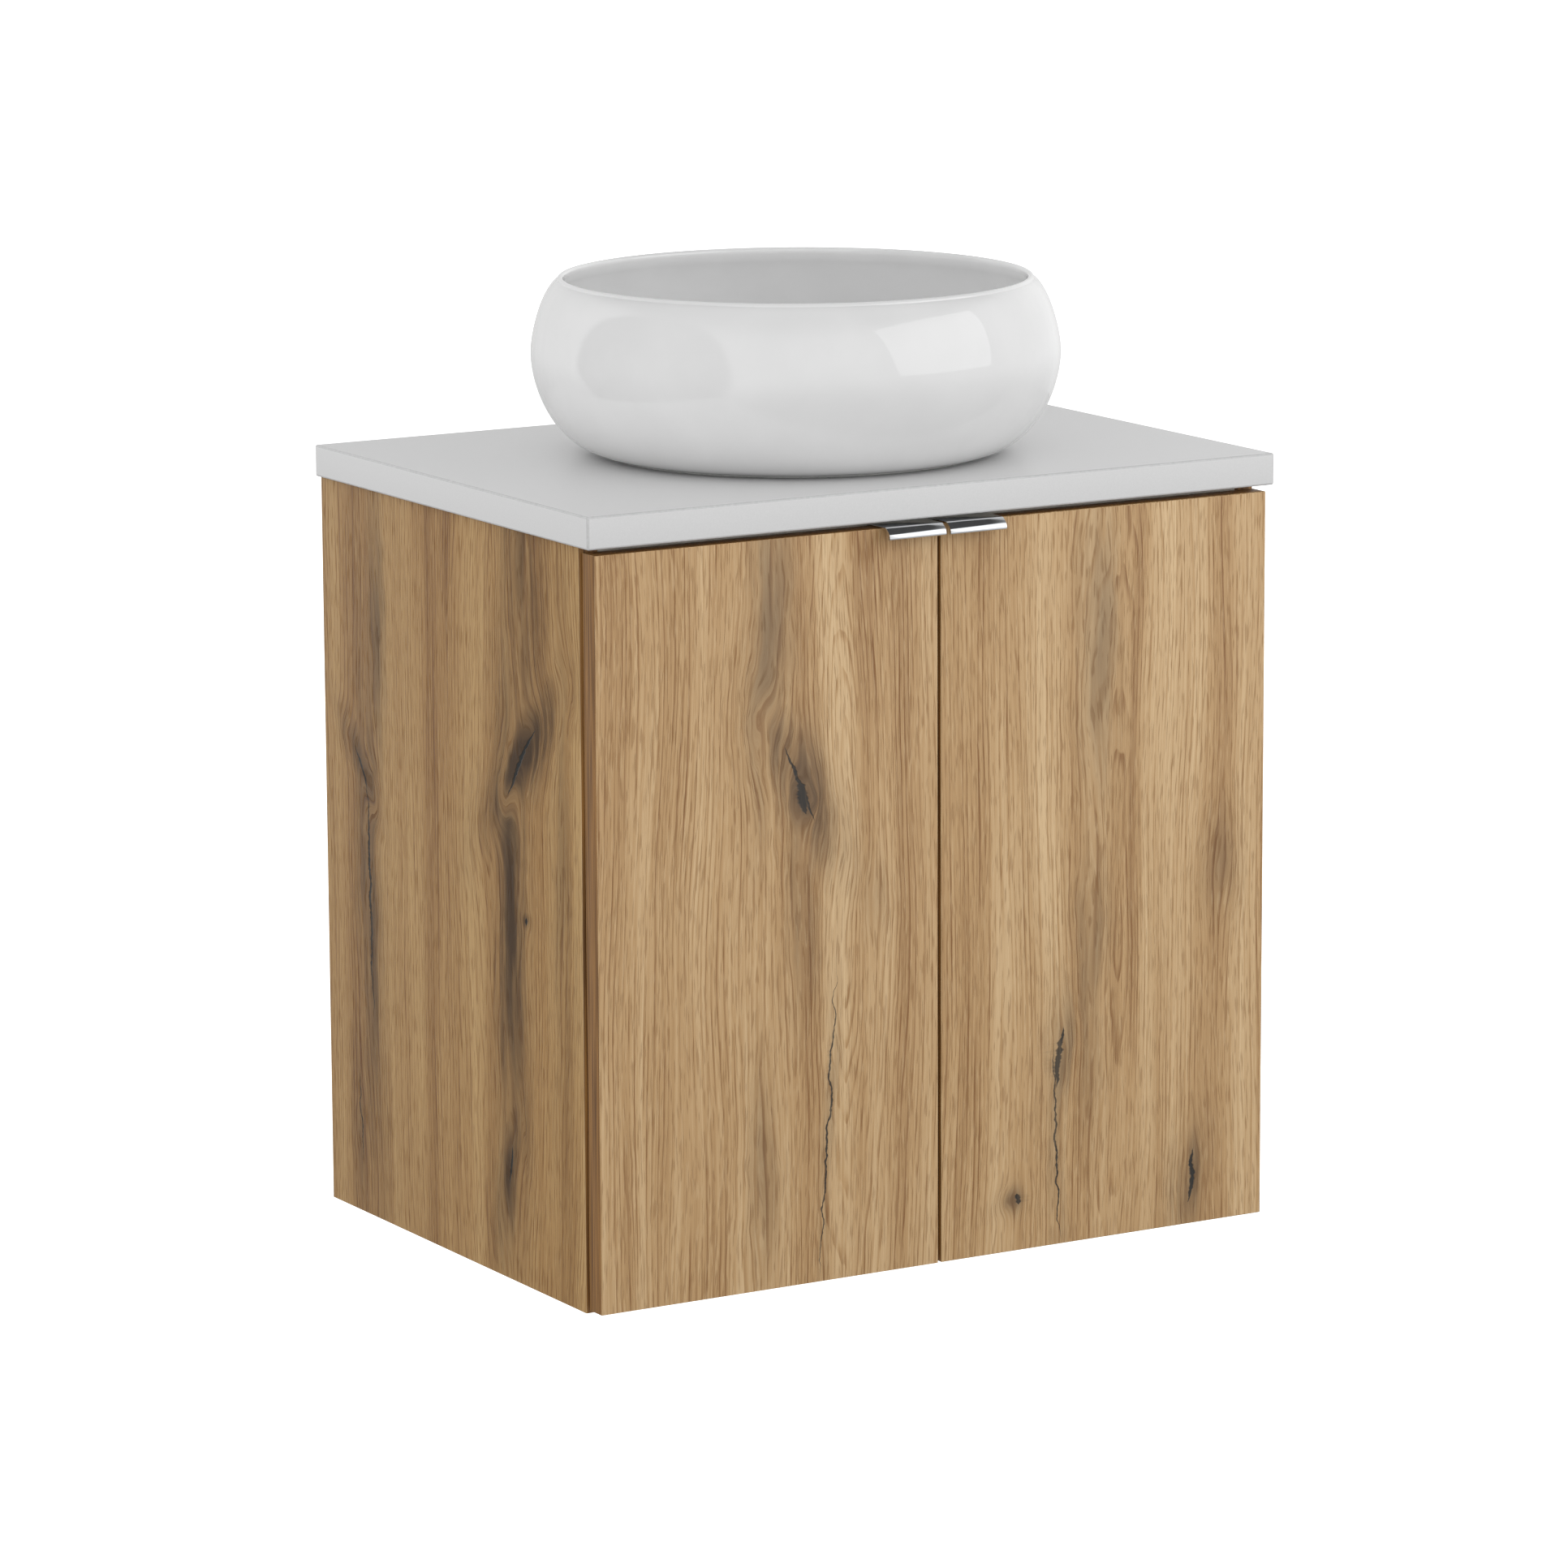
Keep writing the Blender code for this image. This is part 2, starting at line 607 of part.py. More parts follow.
def add_wall_rail(parts, cutters):
    """Steel rail screwed to the wall, with a lip that leans away from it."""
    reach = CASE_INNER_X - 0.003
    section = [
        (-0.0030, HOOK_Z - WALL_RAIL_H),
        (-GAP / 2, HOOK_Z - WALL_RAIL_H),
        (-GAP / 2, HOOK_Z - 0.0060),
        (-0.0080, HOOK_Z + 0.0030),
        (-0.0100, HOOK_Z + 0.0030),
        (-0.0100, HOOK_Z + 0.0010),
        (-0.0030, HOOK_Z - 0.0070),
    ]
    rail = add_mesh("wall_rail", sideways_prism_bm(section, -reach, reach), "zinc", parts)
    holes = bmesh.new()
    z = HOOK_Z - 0.026
    for side, tag in SIDES:
        x = side * WALL_SCREW_X
        rod_bm((x, -0.010, z), (x, 0.010, z), 0.0035, 14, holes)
        head = rod_bm((x, -0.0033, z), (x, -0.0062, z), 0.0065, 14, end_radius=0.0035)
        add_mesh("wall_screw_" + tag, head, "zinc", parts)
    cut(rail, add_mesh("wall_rail_holes", holes, "zinc", cutters))


def add_hangers(parts, cutters):
    """Plastic hanger bodies in the top rear corners and the steel hooks they carry."""
    notches = bmesh.new()
    hook_section = [
        (HANGER_FRONT_Y + GAP, HOOK_Z - 0.0060),
        (-0.0120, HOOK_Z - 0.0060),
        (-0.0120, HOOK_Z + 0.0040),
        (-0.0030, HOOK_Z + 0.0040),
        (-0.0030, HOOK_Z - 0.0020),
        (-0.0010, HOOK_Z - 0.0020),
        (-0.0010, HOOK_Z + 0.0080),
        (HANGER_FRONT_Y + GAP, HOOK_Z + 0.0080),
    ]
    for side, tag in SIDES:
        wall = side * (CASE_INNER_X - GAP)
        inner = wall - side * HANGER_T
        low = (min(wall, inner), HANGER_FRONT_Y - 0.045, CASE_HEIGHT - 0.068)
        high = (max(wall, inner), HANGER_FRONT_Y, CASE_HEIGHT - 0.008)
        add_box("hanger_" + tag, low, high, "white_plastic", parts, 0.001)
        x = side * HOOK_X
        hook = sideways_prism_bm(hook_section, x - 0.0015, x + 0.0015)
        add_mesh("hanger_hook_" + tag, hook, "zinc", parts)
        notch_low = (min(side * 0.270, side * 0.290), -0.060, HOOK_Z - 0.011)
        notch_high = (max(side * 0.270, side * 0.290), 0.010, HOOK_Z + 0.013)
        box_bm(notch_low, notch_high, notches)
    cut(bpy.data.objects["rear_top_rail"], add_mesh("hook_notches", notches, "carcass_board", cutters))


# Doors --------------------------------------------------------------------------------
def door_xy(side, u, v):
    """A place from its distances inward from the door's outer edge and back from its rear."""
    return side * (DOOR_EDGE_X - u), DOOR_BACK_Y + v


def door_box(side, low, high, bm):
    """A box between two (u, v, z) corners, added to bm."""
    x0, y0 = door_xy(side, low[0], low[1])
    x1, y1 = door_xy(side, high[0], high[1])
    return box_bm((min(x0, x1), y0, low[2]), (max(x0, x1), y1, high[2]), bm)


def add_pivot(name, place, collection, parent=None):
    pivot = bpy.data.objects.new(name, None)
    pivot.empty_display_size = 0.02
    collection.objects.link(pivot)
    pivot.location = place
    if parent:
        hang(pivot, parent)
    return pivot


def hang(made, pivot):
    """Parents an object to a pivot and leaves it where it is."""
    holder = pivot
    while holder:
        made.location -= holder.location
        holder = holder.parent
    made.parent = pivot
    return made


def add_door(side, tag, pivot, parts, cutters):
    inner_x = side * CENTRE_GAP / 2
    outer_x = side * DOOR_EDGE_X
    low = (min(inner_x, outer_x), DOOR_FACE_Y, DOOR_BOTTOM)
    high = (max(inner_x, outer_x), DOOR_BACK_Y, DOOR_TOP_Z)
    door = add_box("door_" + tag, low, high, "oak_decor", parts)
    cups = bmesh.new()
    holes = bmesh.new()
    for z in HINGE_HEIGHTS:
        x, y = door_xy(side, CUP_CENTRE_U, 0)
        rod_bm((x, y + 0.004, z), (x, y - CUP_DEPTH - GAP, z), CUP_R + GAP, 24, cups)
        for z_screw in (z - CUP_SCREW_Z, z + CUP_SCREW_Z):
            x, y = door_xy(side, CUP_SCREW_U, 0)
            rod_bm((x, y + 0.004, z_screw), (x, y - SCREW_REACH - GAP, z_screw), SCREW_HOLE_R, 10, holes)
    for x in handle_screw_places(side):
        z = DOOR_TOP_Z - HANDLE_SCREW_DROP
        start, end = (x, DOOR_BACK_Y + 0.004, z), (x, DOOR_BACK_Y - SCREW_REACH - GAP, z)
        rod_bm(start, end, SCREW_HOLE_R, 10, holes)
    hang(door, pivot)
    for name, bm in (("cup_bores", cups), ("screw_holes", holes)):
        cutter = add_mesh("door_%s_%s" % (tag, name), bm, "oak_decor", cutters)
        cut(door, hang(cutter, pivot))


def add_hinge_cup(side, tag, z, pivot, parts, cutters):
    """The cup let into the door, with its screw ears and the pin that the link turns on."""
    rim = CUP_R + 0.0014
    bore = CUP_R - CUP_WALL
    face = GAP + 0.0008
    profile = [
        (rim, face),
        (rim, GAP),
        (CUP_R, GAP),
        (CUP_R, -CUP_DEPTH),
        (0, -CUP_DEPTH),
        (0, -CUP_DEPTH + CUP_WALL),
        (bore, -CUP_DEPTH + CUP_WALL),
        (bore, face),
    ]
    x, y = door_xy(side, CUP_CENTRE_U, 0)
    cup = hang(add_turned("hinge_cup_" + tag, profile, (x, y, z), "zinc", parts, 24, "Y"), pivot)
    smooth(cup)
    pin_x, pin_y = door_xy(side, *HINGE_PIVOT_CUP)
    pin = rod_bm((pin_x, pin_y, z - CUP_PIN_HALF), (pin_x, pin_y, z + CUP_PIN_HALF), PIVOT_R)
    join(cup, hang(add_mesh("hinge_cup_pin_" + tag, pin, "zinc", cutters), pivot))
    ears, holes = bmesh.new(), bmesh.new()
    for up in (-1, 1):
        near, far = sorted((z + up * (bore + GAP), z + up * 0.027))
        door_box(side, (CUP_SCREW_U - 0.007, GAP, near), (CUP_SCREW_U + 0.005, face, far), ears)
        x, y = door_xy(side, CUP_SCREW_U, 0)
        z_screw = z + up * CUP_SCREW_Z
        rod_bm((x, y - 0.004, z_screw), (x, y + 0.004, z_screw), SCREW_HOLE_R, 10, holes)
    join(cup, hang(add_mesh("hinge_ears_" + tag, ears, "zinc", cutters), pivot))
    cut(cup, hang(add_mesh("hinge_ear_holes_" + tag, holes, "zinc", cutters), pivot))


def link_places(side):
    """The link's centre line, from its pivot on the arm, round its crank, to the cup pin."""
    start, end = Vector(HINGE_PIVOT_ARM), Vector(HINGE_PIVOT_CUP)
    along = (end - start).normalized()
    across = Vector((-along.y, along.x))
    line = [start] + [start + along * a + across * b for a, b in LINK_CRANK] + [end]
    return [Vector(door_xy(side, *point)) for point in line]


def offset_outline(line, half):
    """The outline of a strip of even thickness along a line, with mitred corners."""
    left, right = [], []
    for number, point in enumerate(line):
        before = (point - line[number - 1]).normalized() if number else None
        after = (line[number + 1] - point).normalized() if number + 1 < len(line) else None
        first, second = before or after, after or before
        normal = Vector((-(first + second).y, (first + second).x)).normalized()
        reach = half / normal.dot(Vector((-first.y, first.x)))
        left.append(point + normal * reach)
        right.append(point - normal * reach)
    return left[::-1] + right


def add_hinge_link(side, tag, z, pivot, parts, cutters):
    """The cranked link between a hinge's arm and its cup."""
    line = link_places(side)
    outline = [tuple(point) for point in offset_outline(line, LINK_T)]
    eyes, bores = bmesh.new(), bmesh.new()
    for (x, y), radius in ((line[0], 0.0030), (line[-1], 0.0026)):
        rod_bm((x, y, z - LINK_HALF), (x, y, z + LINK_HALF), radius, 16, eyes)
        rod_bm((x, y, z - 0.006), (x, y, z + 0.006), EYE_BORE_R, 16, bores)
    strip = prism_bm(outline, z - LINK_HALF, z + LINK_HALF)
    link = hang(add_mesh("hinge_link_" + tag, strip, "zinc", parts), pivot)
    join(link, hang(add_mesh("hinge_link_eyes_" + tag, eyes, "zinc", cutters), pivot))
    cut(link, hang(add_mesh("hinge_link_bores_" + tag, bores, "zinc", cutters), pivot))


def add_hinge_plate(side, tag, z, parts, cutters):
    """The plate screwed to the side panel, which the hinge's arm clips on."""
    low_u = SIDE_T - DOOR_INSET + GAP
    high_u = low_u + HINGE_PLATE_T
    body = door_box(side, (low_u, 0.030, z - 0.008), (high_u, 0.066, z + 0.008), bmesh.new())
    wings, holes = bmesh.new(), bmesh.new()
    door_box(side, (low_u, PLATE_V - 0.006, z - 0.022), (high_u, PLATE_V + 0.006, z + 0.022), wings)
    for up in (-1, 1):
        x, y = door_xy(side, high_u, PLATE_V)
        z_screw = z + up * HINGE_SCREW_Z
        rod_bm((x - side * 0.004, y, z_screw), (x + side * 0.006, y, z_screw), 0.0022, 12, holes)
    plate = add_mesh("hinge_plate_" + tag, body, "zinc", parts)
    join(plate, add_mesh("hinge_wings_" + tag, wings, "zinc", cutters))
    cut(plate, add_mesh("hinge_wing_holes_" + tag, holes, "zinc", cutters))


def add_hinge_arm(side, tag, z, parts, cutters):
    """The arm that stays in the case, with two cheeks that hold the link's pin."""
    low, high = (ARM_U[0], ARM_V[0], z - ARM_HALF), (ARM_U[1], ARM_V[1], z + ARM_HALF)
    body = door_box(side, low, high, bmesh.new())
    cheek_u = (HINGE_PIVOT_ARM[0] - 0.0025, HINGE_PIVOT_ARM[0] + 0.0025)
    cheeks = bmesh.new()
    for up in (-1, 1):
        near, far = sorted((z + up * 0.0048, z + up * (ARM_HALF - 0.0002)))
        door_box(side, (cheek_u[0], -0.0020, near), (cheek_u[1], ARM_V[0] + 0.002, far), cheeks)
    x, y = door_xy(side, *HINGE_PIVOT_ARM)
    pin = rod_bm((x, y, z - 0.0062), (x, y, z + 0.0062), PIVOT_R)
    arm = add_mesh("hinge_arm_" + tag, body, "zinc", parts)
    join(arm, add_mesh("hinge_cheeks_" + tag, cheeks, "zinc", cutters))
    join(arm, add_mesh("hinge_arm_pin_" + tag, pin, "zinc", cutters))


def handle_screw_places(side):
    near = CENTRE_GAP / 2 + 0.010
    return side * near, side * (near + HANDLE_WIDTH - 0.020)


def handle_section():
    """The pull's section in Y and Z: down the door's back, over its top, out and down."""
    under = DOOR_TOP_Z + GAP
    over = under + HANDLE_SHEET
    back_in = DOOR_BACK_Y + GAP
    back_out = back_in + HANDLE_SHEET
    bend_y = DOOR_FACE_Y - 0.001
    reach = HANDLE_REACH - 0.001
    outer = []
    inner = []
    for step in range(9):
        turn = pi / 2 * step / 8
        outer.append((bend_y - reach * sin(turn), over - HANDLE_DROP * (1 - cos(turn))))
        inner_drop = HANDLE_DROP - HANDLE_SHEET
        inner.append((bend_y - (reach - HANDLE_SHEET) * sin(turn), under - inner_drop * (1 - cos(turn))))
    lip = [
        (bend_y - reach, over - HANDLE_DROP - 0.0014),
        (bend_y - reach + 0.0006, over - HANDLE_DROP - 0.0020),
        (bend_y - reach + HANDLE_LIP - 0.0006, over - HANDLE_DROP - 0.0020),
        (bend_y - reach + HANDLE_LIP, over - HANDLE_DROP - 0.0014),
    ]
    back = [
        (back_in, under),
        (back_in, DOOR_TOP_Z - HANDLE_BACK_DROP),
        (back_out, DOOR_TOP_Z - HANDLE_BACK_DROP),
        (back_out, over - 0.0005),
        (back_out - 0.0005, over),
    ]
    return outer + lip + inner[::-1] + back


def add_handle(side, tag, pivot, parts, cutters):
    near, far = side * CENTRE_GAP / 2 + side * 0.0005, side * (CENTRE_GAP / 2 + 0.0005 + HANDLE_WIDTH)
    pull = add_mesh(
        "handle_" + tag,
        sideways_prism_bm(handle_section(), min(near, far), max(near, far)),
        "chrome",
        parts,
    )
    hang(pull, pivot)
    smooth(pull, 25)
    holes = bmesh.new()
    z = DOOR_TOP_Z - HANDLE_SCREW_DROP
    face = DOOR_BACK_Y + GAP + HANDLE_SHEET
    screw = [
        (0, -0.0001),
        (0.0026, -0.0001),
        (0.0014, -HANDLE_SHEET),
        (0.0014, -HANDLE_SHEET - SCREW_REACH),
        (0, -HANDLE_SHEET - SCREW_REACH),
    ]
    for x, place in zip(handle_screw_places(side), ("inner", "outer")):
        rod_bm((x, face - 0.0022, z), (x, face + 0.0008, z), 0.0015, 12, holes, 0.0037)
        name = "handle_screw_%s_%s" % (tag, place)
        hang(add_turned(name, screw, (x, face, z), "zinc", parts, 12, "Y"), pivot)
    cut(pull, hang(add_mesh("handle_holes_" + tag, holes, "chrome", cutters), pivot))


def add_door_set(side, tag, parts, cutters):
    link_x, link_y = door_xy(side, *HINGE_PIVOT_ARM)
    cup_x, cup_y = door_xy(side, *HINGE_PIVOT_CUP)
    link_pivot = add_pivot("link_pivot_" + tag, (link_x, link_y, 0), parts)
    door_pivot = add_pivot("door_pivot_" + tag, (cup_x, cup_y, 0), parts, link_pivot)
    add_door(side, tag, door_pivot, parts, cutters)
    add_handle(side, tag, door_pivot, parts, cutters)
    for z, height in zip(HINGE_HEIGHTS, ("low", "high")):
        name = "%s_%s" % (tag, height)
        add_hinge_cup(side, name, z, door_pivot, parts, cutters)
        add_hinge_link(side, name, z, link_pivot, parts, cutters)
        add_hinge_plate(side, name, z, parts, cutters)
        add_hinge_arm(side, name, z, parts, cutters)


def main():
    for item in list(bpy.data.objects):
        bpy.data.objects.remove(item, do_unlink=True)
    parts = new_collection("vanity_unit")
    cutters = new_collection("cutters")
    for side, tag in SIDES:
        add_side_panel(side, tag, parts, cutters)
    add_case_boards(parts, cutters)
    add_shelf(parts)
    add_worktop(parts, cutters)
    add_basin(parts)
    add_waste(parts, cutters)
    finish_trap(add_trap(parts, cutters), parts, cutters)
    add_wall_rail(parts, cutters)
    add_hangers(parts, cutters)
    for side, tag in SIDES:
        add_door_set(side, tag, parts, cutters)


if __name__ == "__main__":
    main()
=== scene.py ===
"""Wall-hung vanity unit with a round counter-top basin: its fine surfaces and its finishes.

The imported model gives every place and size. Each operator makes one family of pieces, gives
them their finish and hides the plain solids that they stand for.
"""
import json
from math import cos, pi, radians, sin

import bmesh
import bpy
from mathutils import Matrix, Vector

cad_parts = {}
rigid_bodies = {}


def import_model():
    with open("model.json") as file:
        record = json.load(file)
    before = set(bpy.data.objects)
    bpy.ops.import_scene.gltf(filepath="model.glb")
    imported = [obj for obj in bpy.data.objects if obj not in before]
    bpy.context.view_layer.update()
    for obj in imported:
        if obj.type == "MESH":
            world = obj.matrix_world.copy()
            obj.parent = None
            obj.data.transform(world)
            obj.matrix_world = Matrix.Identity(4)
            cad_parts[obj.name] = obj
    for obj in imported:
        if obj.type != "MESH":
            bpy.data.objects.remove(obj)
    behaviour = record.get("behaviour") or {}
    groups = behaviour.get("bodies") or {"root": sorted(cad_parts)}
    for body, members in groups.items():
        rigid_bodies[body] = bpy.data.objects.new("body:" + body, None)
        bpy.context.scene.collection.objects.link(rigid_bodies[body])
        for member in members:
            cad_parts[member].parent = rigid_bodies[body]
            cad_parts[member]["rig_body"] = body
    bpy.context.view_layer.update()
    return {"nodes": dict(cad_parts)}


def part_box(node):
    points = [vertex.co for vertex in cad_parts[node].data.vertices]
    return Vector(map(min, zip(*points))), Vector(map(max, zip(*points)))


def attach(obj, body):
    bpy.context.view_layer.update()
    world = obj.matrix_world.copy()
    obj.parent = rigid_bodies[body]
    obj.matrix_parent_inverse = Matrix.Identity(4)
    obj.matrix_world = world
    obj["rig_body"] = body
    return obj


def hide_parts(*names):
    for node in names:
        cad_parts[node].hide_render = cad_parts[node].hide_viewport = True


bl_info = {
    "name": "Vanity Unit with Vessel Basin",
    "version": (1, 0, 0),
    "blender": (4, 5, 0),
    "location": "View3D > Sidebar > Vanity",
    "description": "Adds the finished pieces of a wall-hung vanity unit to its packed model",
    "category": "Object",
}

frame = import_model()

SIDES = ((-1, "left"), (1, "right"))
HEIGHTS = ("low", "high")
AXIS_Y = Vector((0, 1, 0))
AXIS_Z = Vector((0, 0, 1))
MERGE = 0.00002


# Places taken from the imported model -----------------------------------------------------
def low_of(node):
    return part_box(node)[0]


def high_of(node):
    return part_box(node)[1]


def middle_of(node):
    low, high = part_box(node)
    return (low + high) / 2


def body_of(node):
    return frame["nodes"][node]["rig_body"]


# Colours and nodes ----------------------------------------------------------------------
MATHS = "ShaderNodeMath"
VECTOR = "ShaderNodeVectorMath"
NOISE = "ShaderNodeTexNoise"
RANGE = "ShaderNodeMapRange"
RAMP = "ShaderNodeValToRGB"
BUMP = "ShaderNodeBump"
SMOOTH = {"interpolation_type": "SMOOTHSTEP"}


def linear(code):
    """The linear RGB of an sRGB hex colour."""
    values = (int(code[start:start + 2], 16) / 255 for start in (1, 3, 5))
    return tuple(v / 12.92 if v <= 0.04045 else ((v + 0.055) / 1.055) ** 2.4 for v in values)


def add(tree, kind, inputs=(), **settings):
    """Adds a node with its settings. Inputs go in order or by name: a value, a socket or a node."""
    node = tree.nodes.new(kind)
    for name, value in settings.items():
        setattr(node, name, value)
    pairs = inputs.items() if isinstance(inputs, dict) else enumerate(inputs)
    for key, value in pairs:
        if isinstance(value, bpy.types.Node):
            value = value.outputs[0]
        if isinstance(value, bpy.types.NodeSocket):
            tree.links.new(value, node.inputs[key])
        else:
            node.inputs[key].default_value = value
    return node


def new_material(name, colour, roughness, metallic=0.0, **sockets):
    """A material whose Principled shader has these even values. Returns it with its shader."""
    made = bpy.data.materials.new(name)
    made.use_nodes = True
    shader = made.node_tree.nodes["Principled BSDF"]
    shader.inputs["Base Color"].default_value = (*colour[:3], 1)
    shader.inputs["Roughness"].default_value = roughness
    shader.inputs["Metallic"].default_value = metallic
    for key, value in sockets.items():
        shader.inputs[key.replace("_", " ")].default_value = value
    made.diffuse_color = (*colour[:3], 1)
    return made, made.node_tree, shader


def set_stops(ramp, dark_at, dark, light_at, light):
    """Gives a new colour ramp its two ends."""
    ends = ramp.color_ramp.elements
    ends[0].position, ends[0].color = dark_at, (*dark, 1)
    ends[1].position, ends[1].color = light_at, (*light, 1)
    return ends


# Settings -------------------------------------------------------------------------------
def colour_setting(name, description, code):
    return bpy.props.FloatVectorProperty(
        name=name, description=description, subtype="COLOR", size=3, min=0, max=1, default=linear(code)
    )


def length_setting(name, description, default):
    return bpy.props.FloatProperty(
        name=name, description=description, unit="LENGTH", precision=4, min=0, default=default
    )


class OakSettings(bpy.types.PropertyGroup):
    """Colours and grain of the oak decor on the doors and sides."""

    pale: colour_setting("Early wood", "Palest tone between the growth rings", "#DFC094")
    middle: colour_setting("Heartwood", "Tone that most of the board has", "#C29D6F")
    brown: colour_setting("Late wood", "Darkest tone of the plain grain", "#8A6037")
    stain: colour_setting("Knot stain", "Grey-brown stain round the knots", "#5A4634")
    split: colour_setting("Split", "Filled splits and hearts of the knots", "#23282A")
    ring_spacing: length_setting("Ring spacing", "Distance between growth rings", 0.0046)
    pore_width: length_setting("Pore width", "Width of an embossed pore", 0.0009)
    pore_length: length_setting("Pore length", "Length of an embossed pore", 0.016)
    # Painted shade: the side panels' oak is darkened and warmed against the doors' to stand in for the
    # dimmer light on the sides.
    side_painted_shade: colour_setting("Side tint", "Tone of the side panels' print against the doors'", "#E1D7BF")


class BasinSettings(bpy.types.PropertyGroup):
    """Proportions of the basin's section."""

    rim_radius: length_setting("Rim radius", "Outer radius of the lip", 0.1855)
    foot_radius: length_setting("Foot radius", "Radius where the wall meets the foot", 0.1535)
    belly_height: length_setting("Belly height", "Height of the widest place over the foot", 0.076)
    rim_width: length_setting("Rim width", "Width of the rounded lip", 0.005)
    wall: length_setting("Wall", "Thickness of the side wall", 0.007)
    floor: length_setting("Floor", "Height of the inner floor over the foot", 0.016)
    shoulder: bpy.props.FloatProperty(
        name="Shoulder", description="Fullness of the curve over the belly, 2 being an ellipse",
        default=1.56,
    )
    flank: bpy.props.FloatProperty(
        name="Flank", description="Fullness of the curve under the belly, 2 being an ellipse",
        default=1.82,
    )


class StageSettings(bpy.types.PropertyGroup):
    """Camera and studio light."""

    lens: bpy.props.FloatProperty(
        name="Lens", description="Focal length in millimetres", default=164.0
    )
    camera: bpy.props.FloatVectorProperty(
        name="Camera", description="Where the camera stands", unit="LENGTH",
        default=(-2.8131, -4.9840, 1.4149),
    )
    turn: bpy.props.FloatProperty(
        name="Turn", description="Camera's turn towards the unit's right side", unit="ROTATION",
        default=radians(30.492),
    )
    tip: bpy.props.FloatProperty(
        name="Tip", description="Camera's dip below the horizon", unit="ROTATION", default=radians(10.963)
    )
    roll: bpy.props.FloatProperty(
        name="Roll", description="Camera's turn about its own axis", unit="ROTATION",
        default=radians(-0.284),
    )
    sky: bpy.props.FloatProperty(
        name="Surround", description="Strength of the white surround", default=1.02
    )
    shine: bpy.props.FloatProperty(
        name="Shine", description="Surround's strength in reflections", default=0.96
    )
    key: bpy.props.FloatProperty(
        name="Key light", description="Power of the main soft box", unit="POWER", default=22
    )
    floor_drop: length_setting("Floor drop", "Height of the unit over the floor", 0.30)


class VanitySettings(bpy.types.PropertyGroup):
    """All settings of the vanity unit."""

    oak: bpy.props.PointerProperty(type=OakSettings)
    basin: bpy.props.PointerProperty(type=BasinSettings)
    stage: bpy.props.PointerProperty(type=StageSettings)


# Oak decor ------------------------------------------------------------------------------
# Each feature: place across and up the panel, half size of its stain, half size of its
# split, lean of the split, and how dark the stain is. Metres.
LEFT_DOOR_KNOTS = (
    ((-0.1235, 0.392), (0.026, 0.060), (0.0024, 0.030), -0.42, 0.80),
    ((-0.1215, 0.382), (0.012, 0.020), (0.0065, 0.014), -0.25, 0.60),
    ((-0.1500, 0.500), (0.019, 0.120), (0.0, 0.01), 0.03, 0.50),
    ((-0.1230, 0.310), (0.012, 0.090), (0.0, 0.01), 0.00, 0.42),
    ((-0.1000, 0.125), (0.006, 0.110), (0.0012, 0.122), 0.065, 0.35),
    ((-0.1560, 0.100), (0.016, 0.080), (0.0, 0.01), 0.00, 0.30),
    ((-0.0550, 0.300), (0.014, 0.030), (0.0, 0.01), 0.00, 0.18),
)
RIGHT_DOOR_KNOTS = (
    ((0.1085, 0.152), (0.013, 0.044), (0.0040, 0.024), 0.10, 0.65),
    ((0.1065, 0.085), (0.007, 0.090), (0.0013, 0.080), -0.03, 0.35),
    ((0.0694, 0.044), (0.013, 0.011), (0.0040, 0.0045), 0.00, 0.55),
    ((0.2320, 0.042), (0.015, 0.044), (0.0032, 0.022), 0.16, 0.65),
    ((0.1440, 0.470), (0.018, 0.110), (0.0, 0.01), 0.00, 0.42),
    ((0.1390, 0.220), (0.013, 0.110), (0.0, 0.01), 0.00, 0.38),
    ((0.2580, 0.292), (0.016, 0.042), (0.0, 0.01), 0.00, 0.30),
)
LEFT_SIDE_KNOTS = (
    ((-0.0620, 0.362), (0.016, 0.036), (0.0022, 0.016), 0.72, 0.60),
    ((-0.0735, 0.262), (0.019, 0.190), (0.0024, 0.100), 0.02, 0.66),
    ((-0.0900, 0.480), (0.012, 0.110), (0.0, 0.01), 0.02, 0.55),
    ((-0.0520, 0.078), (0.012, 0.070), (0.0012, 0.040), 0.06, 0.42),
    ((-0.3250, 0.408), (0.034, 0.062), (0.0036, 0.030), -0.78, 0.92),
    ((-0.3060, 0.290), (0.024, 0.200), (0.0, 0.01), 0.00, 0.80),
    ((-0.3310, 0.286), (0.007, 0.008), (0.0028, 0.003), 0.00, 0.70),
    ((-0.3030, 0.091), (0.022, 0.070), (0.0020, 0.016), -0.20, 0.78),
    ((-0.3300, 0.540), (0.030, 0.110), (0.0, 0.01), 0.10, 0.55),
    ((-0.3900, 0.330), (0.016, 0.260), (0.0, 0.01), 0.00, 0.30),
)
RIGHT_SIDE_KNOTS = (
    ((-0.1180, 0.330), (0.022, 0.060), (0.0030, 0.026), 0.45, 0.75),
    ((-0.1220, 0.180), (0.012, 0.130), (0.0014, 0.070), -0.04, 0.45),
    ((-0.2900, 0.450), (0.018, 0.120), (0.0, 0.01), 0.05, 0.40),
    ((-0.3300, 0.120), (0.014, 0.038), (0.0026, 0.016), -0.30, 0.60),
)


